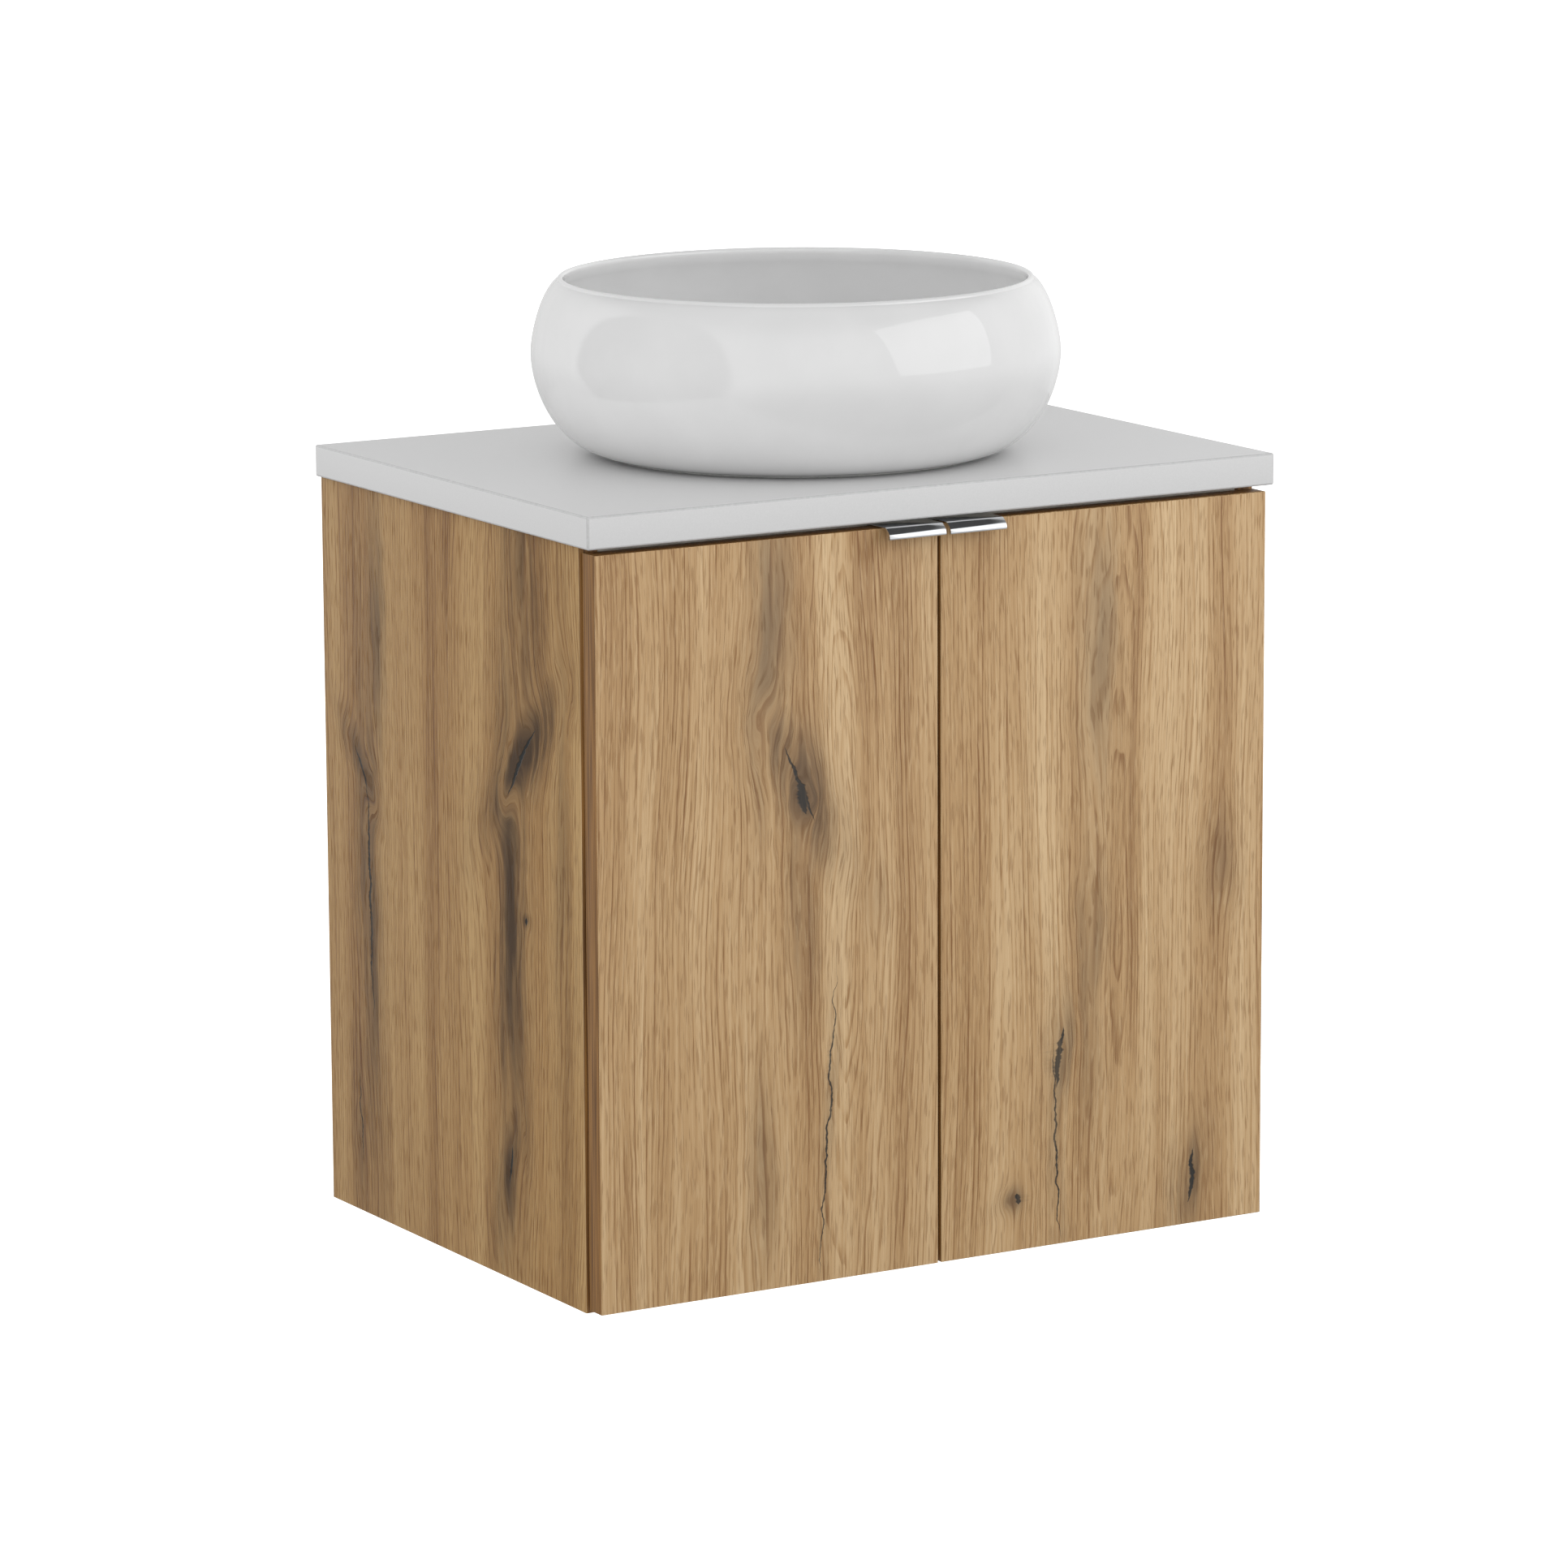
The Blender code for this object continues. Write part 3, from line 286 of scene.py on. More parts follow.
def knot_group():
    """One knot or split in the oak: how the grain swerves past it, its stain and its crack."""
    tree = bpy.data.node_groups.new("oak_knot", "ShaderNodeTree")
    places = ("Across", "Along", "Stray", "Lean", "Seed")
    sizes = ("Stain width", "Stain length", "Split width", "Split length")
    for name in places + sizes:
        tree.interface.new_socket(name, in_out="INPUT", socket_type="NodeSocketFloat")
    for name in ("Swerve", "Stain", "Split"):
        tree.interface.new_socket(name, in_out="OUTPUT", socket_type="NodeSocketFloat")
    given = tree.nodes.new("NodeGroupInput").outputs

    # The stain is a leaning oval that fades outwards, with a straying edge.
    lean = add(tree, MATHS, (given["Lean"], given["Along"]), operation="MULTIPLY")
    line = add(tree, MATHS, (given["Across"], lean), operation="SUBTRACT")
    strayed = add(tree, MATHS, (line, given["Stray"]), operation="ADD")
    side = add(tree, MATHS, (strayed, given["Stain width"]), operation="DIVIDE")
    side_part = add(tree, MATHS, (side, side), operation="MULTIPLY")
    rise = add(tree, MATHS, (given["Along"], given["Stain length"]), operation="DIVIDE")
    rise_part = add(tree, MATHS, (rise, rise), operation="MULTIPLY")
    spread = add(tree, MATHS, (side_part, rise_part), operation="ADD")
    falling = add(tree, MATHS, (spread, -1.0), operation="MULTIPLY")
    stain = add(tree, MATHS, (falling,), operation="EXPONENT")

    # The crack wanders by 5 mm to each side, tapers to its ends and has ragged lips.
    wander = {}
    for name, scale, detail in (("path", 34.0, 3.0), ("lips", 300.0, 1.0)):
        point = add(tree, MATHS, (given["Along"], scale, given["Seed"]), operation="MULTIPLY_ADD")
        keys = {"W": point, "Scale": 1.0, "Detail": detail}
        wander[name] = add(tree, NOISE, keys, noise_dimensions="1D")
    path = add(tree, MATHS, (wander["path"], 0.010, -0.005), operation="MULTIPLY_ADD")
    beside = add(tree, MATHS, (line, path), operation="ADD")
    crack = add(tree, MATHS, (beside,), operation="ABSOLUTE")
    reach = add(tree, MATHS, (given["Along"], given["Split length"]), operation="DIVIDE")
    reach_part = add(tree, MATHS, (reach, reach), operation="MULTIPLY")
    narrowed = add(tree, MATHS, (1.0, reach_part), operation="SUBTRACT")
    taper = add(tree, MATHS, (narrowed, 0.0), operation="MAXIMUM")
    tapered = add(tree, MATHS, (given["Split width"], taper), operation="MULTIPLY")
    ragged = add(tree, MATHS, (wander["lips"], 1.1, 0.35), operation="MULTIPLY_ADD")
    width = add(tree, MATHS, (tapered, ragged), operation="MULTIPLY")
    core = add(tree, MATHS, (width, 0.45), operation="MULTIPLY")
    split = add(tree, RANGE, (crack, width, core), **SMOOTH)

    # The wood is stained for a few widths on each side of the crack.
    edge = add(tree, MATHS, (width, 5.0), operation="MULTIPLY")
    halo = add(tree, RANGE, (crack, edge, 0.0, 0.0, 0.8), **SMOOTH)
    swerve = add(tree, MATHS, (given["Across"], stain), operation="MULTIPLY")
    shaded = add(tree, MATHS, (stain, halo), operation="MAXIMUM")
    add(tree, "NodeGroupOutput", {"Swerve": swerve, "Stain": shaded, "Split": split})
    return tree


def grain_patterns(tree, place, rows):
    """Random patterns over one set of coordinates: marks to the metre, detail and roughness."""
    made = {}
    for name, (scale, detail, roughness) in rows.items():
        point = add(tree, VECTOR, (place, scale), operation="MULTIPLY")
        keys = {"Vector": point, "Scale": 1.0, "Detail": detail, "Roughness": roughness}
        made[name] = add(tree, NOISE, keys)
    return made


def add_knots(tree, knots, across, along, stray, seed):
    """All knots of one panel: their swerve of the grain, their stain and their splits."""
    group = bpy.data.node_groups.get("oak_knot") or knot_group()
    swerve = stain = split = 0.0
    for number, ((u, v), stained, split_size, lean, darkness) in enumerate(knots):
        keys = {
            "Across": add(tree, MATHS, (across, u), operation="SUBTRACT"),
            "Along": add(tree, MATHS, (along, v), operation="SUBTRACT"),
            "Stray": stray,
            "Stain width": stained[0],
            "Stain length": stained[1],
            "Split width": split_size[0],
            "Split length": split_size[1],
            "Lean": lean,
            "Seed": seed + 7.3 * number,
        }
        knot = add(tree, "ShaderNodeGroup", keys, node_tree=group).outputs
        shaded = add(tree, MATHS, (knot["Stain"], darkness), operation="MULTIPLY")
        swerve = add(tree, MATHS, (swerve, knot["Swerve"]), operation="ADD")
        stain = add(tree, MATHS, (stain, shaded), operation="MAXIMUM")
        split = add(tree, MATHS, (split, knot["Split"]), operation="MAXIMUM")
    return swerve, stain, split


def growth_lines(tree, look, heart, grain, along, loose, fine):
    """Dark late wood at the end of each year's ring.

    The heart line leans through the board, so the rings that it cuts close in arches.
    """
    (heart_across, heart_along), slope = heart
    bend = add(tree, MATHS, (loose["bend"], 0.030, -0.015), operation="MULTIPLY_ADD")
    past = add(tree, MATHS, (along, heart_along), operation="SUBTRACT")
    depth = add(tree, MATHS, (past, slope, bend), operation="MULTIPLY_ADD")
    depth_part = add(tree, MATHS, (depth, depth), operation="MULTIPLY")
    beside = add(tree, MATHS, (grain, heart_across), operation="SUBTRACT")
    beside_part = add(tree, MATHS, (beside, beside), operation="MULTIPLY")
    squared = add(tree, MATHS, (beside_part, depth_part), operation="ADD")
    radius = add(tree, MATHS, (squared,), operation="SQRT")
    uneven = add(tree, MATHS, (fine["years"], 3.2), operation="MULTIPLY")
    count = add(tree, MATHS, (radius, 1.0 / look.ring_spacing, uneven), operation="MULTIPLY_ADD")
    season = add(tree, MATHS, (count,), operation="FRACT")
    thickening = add(tree, RANGE, (season, 0.55, 0.90), **SMOOTH)
    ending = add(tree, RANGE, (season, 1.0, 0.93), **SMOOTH)
    late = add(tree, MATHS, (thickening, ending), operation="MULTIPLY")
    broken = add(tree, RANGE, (fine["breaks"], 0.38, 0.62, 0.15, 1.0), **SMOOTH)
    return add(tree, MATHS, (late, broken), operation="MULTIPLY")


def oak_decor(name, knots, heart, offset, seed, painted_shade):
    """Knotty oak decor paper on chipboard, pressed with pores that follow the print.

    A printed melamine surface: even satin sheen, broken by fine dull grooves along the
    grain. The grain runs up each panel, so the pattern reads the height and one distance
    across, which carries on round the panel's vertical edges. Rings and pores are drawn a
    little coarser than life, so that they still show on the whole unit.
    """
    look = bpy.context.scene.vanity.oak
    # The palette is multiplied by the painted shade: unchanged on the doors, darker on the side panels.
    shade_toned = {
        key: tuple(part * share for part, share in zip(getattr(look, key), painted_shade))
        for key in ("pale", "middle", "brown", "stain")
    }
    made, tree, shader = new_material(name, shade_toned["middle"], 0.5, Specular_IOR_Level=0.35)
    place = add(tree, "ShaderNodeSeparateXYZ", (add(tree, "ShaderNodeTexCoord").outputs["Object"],))
    level = add(tree, MATHS, (place.outputs[0], place.outputs[1]), operation="ADD")
    across = add(tree, MATHS, (level, -offset), operation="ADD")
    along = place.outputs[2]
    loose = grain_patterns(tree, add(tree, "ShaderNodeCombineXYZ", (across, along, seed)), {
        "stray": ((34.0, 9.0, 1.0), 3.0, 0.6),
        "drift": ((7.0, 1.3, 1.0), 2.0, 0.5),
        "ripple": ((70.0, 12.0, 1.0), 2.0, 0.5),
        "bend": ((12.0, 5.0, 1.0), 2.0, 0.5),
    })
    stray = add(tree, MATHS, (loose["stray"], 0.034, -0.017), operation="MULTIPLY_ADD")
    swerve, stain, split = add_knots(tree, knots, across, along, stray, seed)

    # The grain is the distance across, pushed aside by the knots and by slow waves.
    pushed = add(tree, MATHS, (swerve, 0.60), operation="MULTIPLY")
    parted = add(tree, MATHS, (across, pushed), operation="SUBTRACT")
    drift = add(tree, MATHS, (loose["drift"], 0.060, -0.030), operation="MULTIPLY_ADD")
    drifted = add(tree, MATHS, (parted, drift), operation="ADD")
    ripple = add(tree, MATHS, (loose["ripple"], 0.0020, -0.0010), operation="MULTIPLY_ADD")
    grain = add(tree, MATHS, (drifted, ripple), operation="ADD")
    pore = (0.7 / look.pore_width, 0.7 / look.pore_length)
    fine = grain_patterns(tree, add(tree, "ShaderNodeCombineXYZ", (grain, along, seed)), {
        "years": ((46.0, 2.0, 1.0), 2.0, 0.5),
        "breaks": ((190.0, 6.0, 1.0), 2.0, 0.5),
        "bands": ((30.0, 1.1, 1.0), 2.0, 0.5),
        "fibre": ((560.0, 5.5, 1.0), 4.0, 0.75),
        "pores": ((*pore, 1.0), 1.0, 0.5),
        "highlit_ridges": ((*pore, 3.1), 1.0, 0.5),
        "streaks": ((130.0, 5.0, 1.0), 3.0, 0.6),
    })
    lines = growth_lines(tree, look, heart, grain, along, loose, fine)
    pores = add(tree, RANGE, (fine["pores"], 0.55, 0.68), **SMOOTH)
    # Painted highlight: the pressed ridges are coloured pale, as if they catch the light; the bump below
    # also raises them.
    highlit_ridges = add(tree, RANGE, (fine["highlit_ridges"], 0.56, 0.70), **SMOOTH)

    # Colour: bands and fibres between the growth lines.
    lined = add(tree, MATHS, (lines, -0.20), operation="MULTIPLY")
    banded = add(tree, MATHS, (fine["bands"], 0.66, lined), operation="MULTIPLY_ADD")
    tone = add(tree, MATHS, (fine["fibre"], 0.50, banded), operation="MULTIPLY_ADD")
    ramp = add(tree, RAMP, (tone,))
    stops = set_stops(ramp, 0.28, shade_toned["brown"], 0.76, shade_toned["pale"])
    stops.new(0.55).color = (*shade_toned["middle"], 1)

    # A painted highlight on the pressed ridges, then dark pores, cloudy stain and filled splits lie over it
    # in that order.
    clouds = add(tree, RANGE, (fine["streaks"], 0.34, 0.62, 0.55, 1.30), **SMOOTH)
    filling = add(tree, RANGE, (fine["fibre"], 0.35, 0.70, 0.96, 0.74), **SMOOTH)
    colour = ramp
    for factor, share, over in (
        (highlit_ridges, 0.34, shade_toned["pale"]),
        (pores, 0.42, shade_toned["brown"]),
        (stain, clouds, shade_toned["stain"]),
        (split, filling, look.split),
    ):
        amount = add(tree, MATHS, (factor, share), operation="MULTIPLY")
        keys = {0: amount, 6: colour, 7: (*over, 1)}
        colour = add(tree, "ShaderNodeMix", keys, data_type="RGBA").outputs[2]
    tree.links.new(colour, shader.inputs["Base Color"])

    # Dull pores and fibres, and a pressed relief of ridges, pores, lines and splits.
    rough = add(tree, MATHS, (fine["fibre"], 0.16, 0.40), operation="MULTIPLY_ADD")
    dull = add(tree, MATHS, (pores, 0.20, rough), operation="MULTIPLY_ADD")
    tree.links.new(dull.outputs[0], shader.inputs["Roughness"])
    shallow = add(tree, MATHS, (lines, 0.7), operation="MULTIPLY")
    deep = add(tree, MATHS, (split, 1.6), operation="MULTIPLY")
    marks = add(tree, MATHS, (shallow, deep), operation="ADD")
    grooves = add(tree, MATHS, (pores, marks), operation="ADD")
    raised = add(tree, MATHS, (highlit_ridges, 0.4), operation="MULTIPLY")
    relief = add(tree, MATHS, (raised, grooves), operation="SUBTRACT")
    bump = add(tree, BUMP, {"Height": relief, "Strength": 0.55, "Distance": 0.0004})
    tree.links.new(bump.outputs[0], shader.inputs["Normal"])
    return made


def oak_edge(name, dark, light):
    """ABS edge band, printed with straight oak grain and glued on hot.

    Duller and plainer than the decor on the faces, with hairlines that run along the edge.
    """
    made, tree, shader = new_material(name, linear(light), 0.5)
    place = add(tree, "ShaderNodeTexCoord").outputs["Object"]
    point = add(tree, VECTOR, (place, (700, 700, 9)), operation="MULTIPLY")
    lines = add(tree, NOISE, {"Vector": point, "Scale": 1.0, "Detail": 3.0})
    ramp = add(tree, RAMP, (lines,))
    set_stops(ramp, 0.36, linear(dark), 0.62, linear(light))
    tree.links.new(ramp.outputs[0], shader.inputs["Base Color"])
    bump = add(tree, BUMP, {"Height": lines, "Strength": 0.4, "Distance": 0.0002})
    tree.links.new(bump.outputs[0], shader.inputs["Normal"])
    return made


# Plain finishes -------------------------------------------------------------------------
def mottled(
    name, dark, light, roughness, size, spread, metallic=0.0, stretch=(1, 1, 1), relief=0.0, **sockets
):
    """A finish whose colour and gloss drift softly over patches of this size in metres.

    Relief is the height in metres of the unevenness that catches the light.
    """
    made, tree, shader = new_material(name, linear(light), roughness, metallic, **sockets)
    place = add(tree, "ShaderNodeTexCoord").outputs["Object"]
    scale = tuple(factor / size for factor in stretch)
    point = add(tree, VECTOR, (place, scale), operation="MULTIPLY")
    patches = add(tree, NOISE, {"Vector": point, "Scale": 1.0, "Detail": 4.0})
    ramp = add(tree, RAMP, (patches,))
    set_stops(ramp, 0.3, linear(dark), 0.7, linear(light))
    tree.links.new(ramp.outputs[0], shader.inputs["Base Color"])
    gloss = add(tree, RANGE, (patches, 0.3, 0.7, roughness - spread, roughness + spread), **SMOOTH)
    tree.links.new(gloss.outputs[0], shader.inputs["Roughness"])
    if relief:
        bump = add(tree, BUMP, {"Height": patches, "Strength": 1.0, "Distance": relief})
        tree.links.new(bump.outputs[0], shader.inputs["Normal"])
    return made


def make_finishes():
    """Every finish apart from the oak, by the name that the pieces use."""
    return {
        # Vitreous china, dipped and fired: a deep even gloss over a surface that is very
        # slightly wavy, so reflections stay sharp but not quite straight.
        "ceramic": mottled(
            "vitreous_china_glazed", "#E6E6E6", "#EAEAEA", 0.045, 0.045, 0.012, relief=0.00005,
            IOR=1.52, Coat_Weight=0.6, Coat_Roughness=0.03,
        ),
        # High-pressure laminate, pressed on a satin plate: fine grain, soft broad sheen.
        "laminate": mottled(
            "laminate_white_satin", "#DADADA", "#DEDEDE", 0.34, 0.0012, 0.05, relief=0.00001
        ),
        # ABS edge band, milled round where it meets the laminate: a thin glossier grey line.
        "joint": mottled("abs_edge_milled_white", "#C6C6C6", "#D2D2D2", 0.22, 0.0030, 0.04, relief=0.00001),
        # Melamine-faced chipboard, pressed with a pearl texture: dull, faintly pebbled.
        "board": mottled("melamine_board_pearl", "#C9C5BC", "#D3CFC6", 0.48, 0.0016, 0.06, relief=0.00003),
        # Flakes of bare chipboard, where a bore cuts through the facing.
        "core": mottled("chipboard_bored", "#8A6A45", "#C7A578", 0.85, 0.0022, 0.05, relief=0.0002),
        # Brass, polished and chromium plated: a bluish mirror with the faintest orange peel.
        "chrome": mottled(
            "brass_chromed_polished", "#D9DBDE", "#E4E6E8", 0.06, 0.009, 0.02, 1.0, relief=0.0000015
        ),
        # Stamped steel, zinc plated and passivated: cool grey, softly blurred, rolling lines.
        "zinc": mottled(
            "steel_zinc_plated", "#999EA2", "#B6BABD", 0.33, 0.004, 0.08, 1.0, (1, 1, 0.2), 0.000006
        ),
        # Polyacetal, injection moulded on an eroded tool: milky white with a fine matt grain.
        "plastic": mottled("polyacetal_moulded", "#DCDCD8", "#E6E6E2", 0.38, 0.0009, 0.05, relief=0.00001),
        # Nitrile rubber, cut from sheet: charcoal, dull and dusty.
        "rubber": mottled("nitrile_rubber_sheet", "#161616", "#242424", 0.75, 0.002, 0.08, relief=0.00002),
        # Sanitary silicone, smoothed with a wet finger: white, wet-looking and uneven.
        "silicone": mottled(
            "silicone_sanitary_tooled", "#CFCFCD", "#DCDCDA", 0.30, 0.006, 0.08, relief=0.00008
        ),
        # Polyurethane dots: clear, slightly yellow, soft.
        "bumper": mottled(
            "polyurethane_clear_cast", "#E2DFD2", "#ECEADF", 0.18, 0.002, 0.04,
            Transmission_Weight=0.7, IOR=1.49,
        ),
    }


# Making pieces --------------------------------------------------------------------------
def add_piece(name, bm, materials, body, stands_for=(), angle=32):
    """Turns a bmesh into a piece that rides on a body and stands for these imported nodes."""
    mesh = bpy.data.meshes.new(name)
    bm.to_mesh(mesh)
    bm.free()
    mesh.shade_smooth()
    mesh.set_sharp_from_angle(angle=radians(angle))
    for material in materials:
        mesh.materials.append(material)
    made = bpy.data.objects.new(name, mesh)
    bpy.context.scene.collection.objects.link(made)
    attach(made, body)
    if stands_for:
        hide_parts(*stands_for)
    return made


def merged_copy(node):
    """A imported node's own shape with its loose triangles joined and its flat faces whole."""
    bm = bmesh.new()
    bm.from_mesh(frame["nodes"][node].data)
    bmesh.ops.remove_doubles(bm, verts=bm.verts, dist=MERGE)
    bmesh.ops.dissolve_limit(bm, angle_limit=radians(0.5), verts=bm.verts, edges=bm.edges)
    return bm


def soften(bm, width, segments=2, angle=40, material=-1):
    """Rounds every edge that is sharper than the angle, and gives the new faces a material."""
    sharp = [edge for edge in bm.edges if edge.is_manifold and edge.calc_face_angle() > radians(angle)]
    bmesh.ops.bevel(
        bm, geom=sharp, offset=width, offset_type="OFFSET", segments=segments, profile=0.5,
        affect="EDGES", clamp_overlap=True, material=material,
    )


def detailed(node, materials, width=0.0003, segments=2, material=-1):
    """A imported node's shape with its edges eased, standing for that node."""
    bm = merged_copy(node)
    soften(bm, width, segments, material=material)
    return add_piece(node + "_detailed", bm, materials, body_of(node), (node,))


def bored_board(node, face, core, width, edge=None, arris_wear_and_highlight=None):
    """A board with eased edges, whose bores show the material under its facing.

    An edge band goes round the four narrow sides, darker partly by painted shade, and its eased corners get
    a paler band: partly the scraped edge, partly a painted highlight along the corner.
    """
    bm = merged_copy(node)
    low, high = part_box(node)
    inset = 0.0003
    thin = min(range(3), key=lambda axis: high[axis] - low[axis])
    for item in bm.faces:
        centre = item.calc_center_median()
        inside = all(low[axis] + inset < centre[axis] < high[axis] - inset for axis in range(3))
        narrow = abs(item.normal[thin]) < 0.5
        item.material_index = 1 if inside else 2 if edge and narrow else 0
    soften(bm, width, 2, material=3 if arris_wear_and_highlight else -1)
    materials = [face, core] + ([edge, arris_wear_and_highlight] if arris_wear_and_highlight else [])
    return add_piece(node + "_detailed", bm, materials, body_of(node), (node,))


def spun(bm, axis, centre, steps):
    """Spins a half section about an axis into a closed turned solid."""
    bmesh.ops.spin(
        bm, geom=bm.verts[:] + bm.edges[:], axis=axis, cent=centre, angle=2 * pi, steps=steps,
        use_merge=True,
    )
    bmesh.ops.remove_doubles(bm, verts=bm.verts, dist=MERGE)
    bmesh.ops.recalc_face_normals(bm, faces=bm.faces)
    return bm


def closed_profile(points, centre):
    """A loop of edges through (radius, height) points over a place, open along the axis."""
    bm = bmesh.new()
    verts = [bm.verts.new(centre + Vector((radius, 0, height))) for radius, height in points]
    for one, other in zip(verts, verts[1:] + verts[:1]):
        if one.co.x > centre.x + MERGE or other.co.x > centre.x + MERGE:
            bm.edges.new((one, other))
    return bm


def turned_again(node, finish, axis=AXIS_Z, steps=96, width=0.0003):
    """A turned node's own half section, its corners eased and spun in fine steps."""
    bm = merged_copy(node)
    centre = middle_of(node)
    across = axis.cross(Vector((1, 0, 0)))
    bmesh.ops.bisect_plane(
        bm, geom=bm.verts[:] + bm.edges[:] + bm.faces[:], dist=MERGE, plane_co=centre, plane_no=across,
        clear_inner=True, clear_outer=True,
    )
    gone = [vert for vert in bm.verts if vert.co.x < centre.x - MERGE]
    bmesh.ops.delete(bm, geom=gone, context="VERTS")
    corners = [vert for vert in bm.verts if len(vert.link_edges) == 2]
    bmesh.ops.bevel(
        bm, geom=corners, offset=width, offset_type="OFFSET", segments=3, profile=0.5, affect="VERTICES",
        clamp_overlap=True, material=-1,
    )
    turned = spun(bm, axis, centre, steps)
    return add_piece(node + "_detailed", turned, [finish], body_of(node), (node,))


def carve(piece, cutter):
    """Takes a bmesh out of a piece for good."""
    mesh = bpy.data.meshes.new("cutter")
    cutter.to_mesh(mesh)
    cutter.free()
    tool = bpy.data.objects.new("cutter", mesh)
    bpy.context.scene.collection.objects.link(tool)
    modifier = piece.modifiers.new("carve", "BOOLEAN")
    modifier.object = tool
    bpy.context.view_layer.update()
    shaped = bpy.data.meshes.new_from_object(piece.evaluated_get(bpy.context.evaluated_depsgraph_get()))
    piece.modifiers.remove(modifier)
    piece.data = shaped
    bpy.data.objects.remove(tool)
    shaped.shade_smooth()
    shaped.set_sharp_from_angle(angle=radians(32))


def box_bm(low, high, bm=None):
    """A box between two corners."""
    bm = bm or bmesh.new()
    low, high = Vector(low), Vector(high)
    matrix = Matrix.Translation((low + high) / 2) @ Matrix.Diagonal((*(high - low), 1.0))
    bmesh.ops.create_cube(bm, size=1.0, matrix=matrix)
    return bm


def head_bm(radius, height, recess):
    """A screw head standing on XY with a crossed or a single slot sunk in its top."""
    bm = bmesh.new()
    bmesh.ops.create_cone(
        bm, cap_ends=True, segments=40, radius1=radius, radius2=radius * 0.86, depth=height
    )
    bmesh.ops.translate(bm, verts=bm.verts, vec=(0, 0, height / 2))
    soften(bm, height * 0.22, 3)
    width = radius * 0.16
    reach = radius * (0.62 if recess == "cross" else 0.80)
    both = ((1, 0, 0), (0, 1, 0))
    cuts = [(normal, width) for normal in (both if recess == "cross" else both[:1])]
    cuts += [(normal, reach) for normal in both]
    for normal, distance in cuts:
        for offset in (-distance, distance):
            whole = bm.verts[:] + bm.edges[:] + bm.faces[:]
            bmesh.ops.bisect_plane(
                bm, geom=whole, plane_co=Vector(normal) * offset, plane_no=normal, dist=MERGE / 4
            )
    sunk = []
    for face in bm.faces:
        centre = face.calc_center_median()
        near_x, near_y = abs(centre.x) < width, abs(centre.y) < width
        inside = abs(centre.x) < reach and abs(centre.y) < reach
        slotted = (near_x or near_y) if recess == "cross" else near_x
        if face.normal.z > 0.99 and inside and slotted:
            sunk.append(face)
    raised = bmesh.ops.extrude_face_region(bm, geom=sunk)
    moved = [item for item in raised["geom"] if isinstance(item, bmesh.types.BMVert)]
    bmesh.ops.translate(bm, verts=moved, vec=(0, 0, -height * 0.6))
    bmesh.ops.delete(bm, geom=sunk, context="FACES_ONLY")
    bmesh.ops.remove_doubles(bm, verts=bm.verts, dist=MERGE / 4)
    bmesh.ops.recalc_face_normals(bm, faces=bm.faces)
    return bm


def set_head(name, place, facing, radius, height, recess, body, turn):
    """A zinc screw head on a face, looking out along facing."""
    bm = head_bm(radius, height, recess)
    aim = Vector(facing).to_track_quat("Z", "Y").to_matrix().to_4x4()
    matrix = Matrix.Translation(place) @ aim @ Matrix.Rotation(turn, 4, "Z")
    bmesh.ops.transform(bm, verts=bm.verts, matrix=matrix)
    return add_piece(name, bm, [FINISH["zinc"]], body)


# Operators ------------------------------------------------------------------------------
class VANITY_OT_boards(bpy.types.Operator):
    """Make the sides, doors, rails, bottom and shelf with eased edges"""

    bl_idname = "vanity.boards"
    bl_label = "Boards"

    def execute(self, context):
        # Partly painted shade: the edge band has a darker print of its own, darkened further to stand in
        # for the shade on the side-facing edges.
        edge = oak_edge("abs_edge_band_oak_with_painted_shade", "#6B4821", "#A4753C")
        # Partly painted highlight: the paler band on the eased corners stands both for the scraped edge and
        # for the bright line of light along it.
        arris_wear_and_highlight = oak_edge("abs_edge_scraped_and_highlight", "#9A774B", "#D2B384")
        core, board = FINISH["core"], FINISH["board"]
        face_y = low_of("door_left").y
        side_x = high_of("side_panel_right").x
        # The side panels get painted shade, a darker copy of the doors' oak; the doors get none.
        plain, painted_shade = (1.0, 1.0, 1.0), context.scene.vanity.oak.side_painted_shade
        panels = (
            ("door_left", LEFT_DOOR_KNOTS, ((-0.088, 0.330), 0.085), face_y, 3.7, plain),
            ("door_right", RIGHT_DOOR_KNOTS, ((0.155, 0.250), 0.080), face_y, 11.9, plain),
            ("side_panel_left", LEFT_SIDE_KNOTS, ((-0.285, 0.450), 0.075), -side_x, 23.1, painted_shade),
            ("side_panel_right", RIGHT_SIDE_KNOTS, ((-0.130, 0.400), 0.075), side_x, 31.4, painted_shade),
        )
        for node, knots, heart, offset, seed, tone in panels:
            oak = oak_decor("oak_decor_" + node, knots, heart, offset, seed, tone)
            bored_board(node, oak, core, 0.0006, edge, arris_wear_and_highlight)
        for node in ("bottom_panel", "front_top_rail", "rear_top_rail", "rear_bottom_rail", "shelf"):
            bored_board(node, board, core, 0.0004)
        return {"FINISHED"}


class VANITY_OT_worktop(bpy.types.Operator):
    """Make the white worktop with its rounded edges and drain hole"""

    bl_idname = "vanity.worktop"
    bl_label = "Worktop"

    def execute(self, context):
        low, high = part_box("worktop")
        bm = box_bm(low, high)
        bmesh.ops.bevel(
            bm, geom=bm.edges[:], offset=0.0016, offset_type="OFFSET", segments=5, profile=0.5,
            affect="EDGES", clamp_overlap=True, material=1,
        )
        faces = [FINISH["laminate"], FINISH["joint"]]
        slab = add_piece("worktop_detailed", bm, faces, "case", ("worktop",))
        drain = middle_of("basin")
        hole = bmesh.new()
        depth = high.z - low.z + 0.02
        bmesh.ops.create_cone(
            hole, cap_ends=True, segments=96, radius1=0.025, radius2=0.025, depth=depth,
            matrix=Matrix.Translation((drain.x, drain.y, (low.z + high.z) / 2)),
        )
        carve(slab, hole)
        return {"FINISHED"}


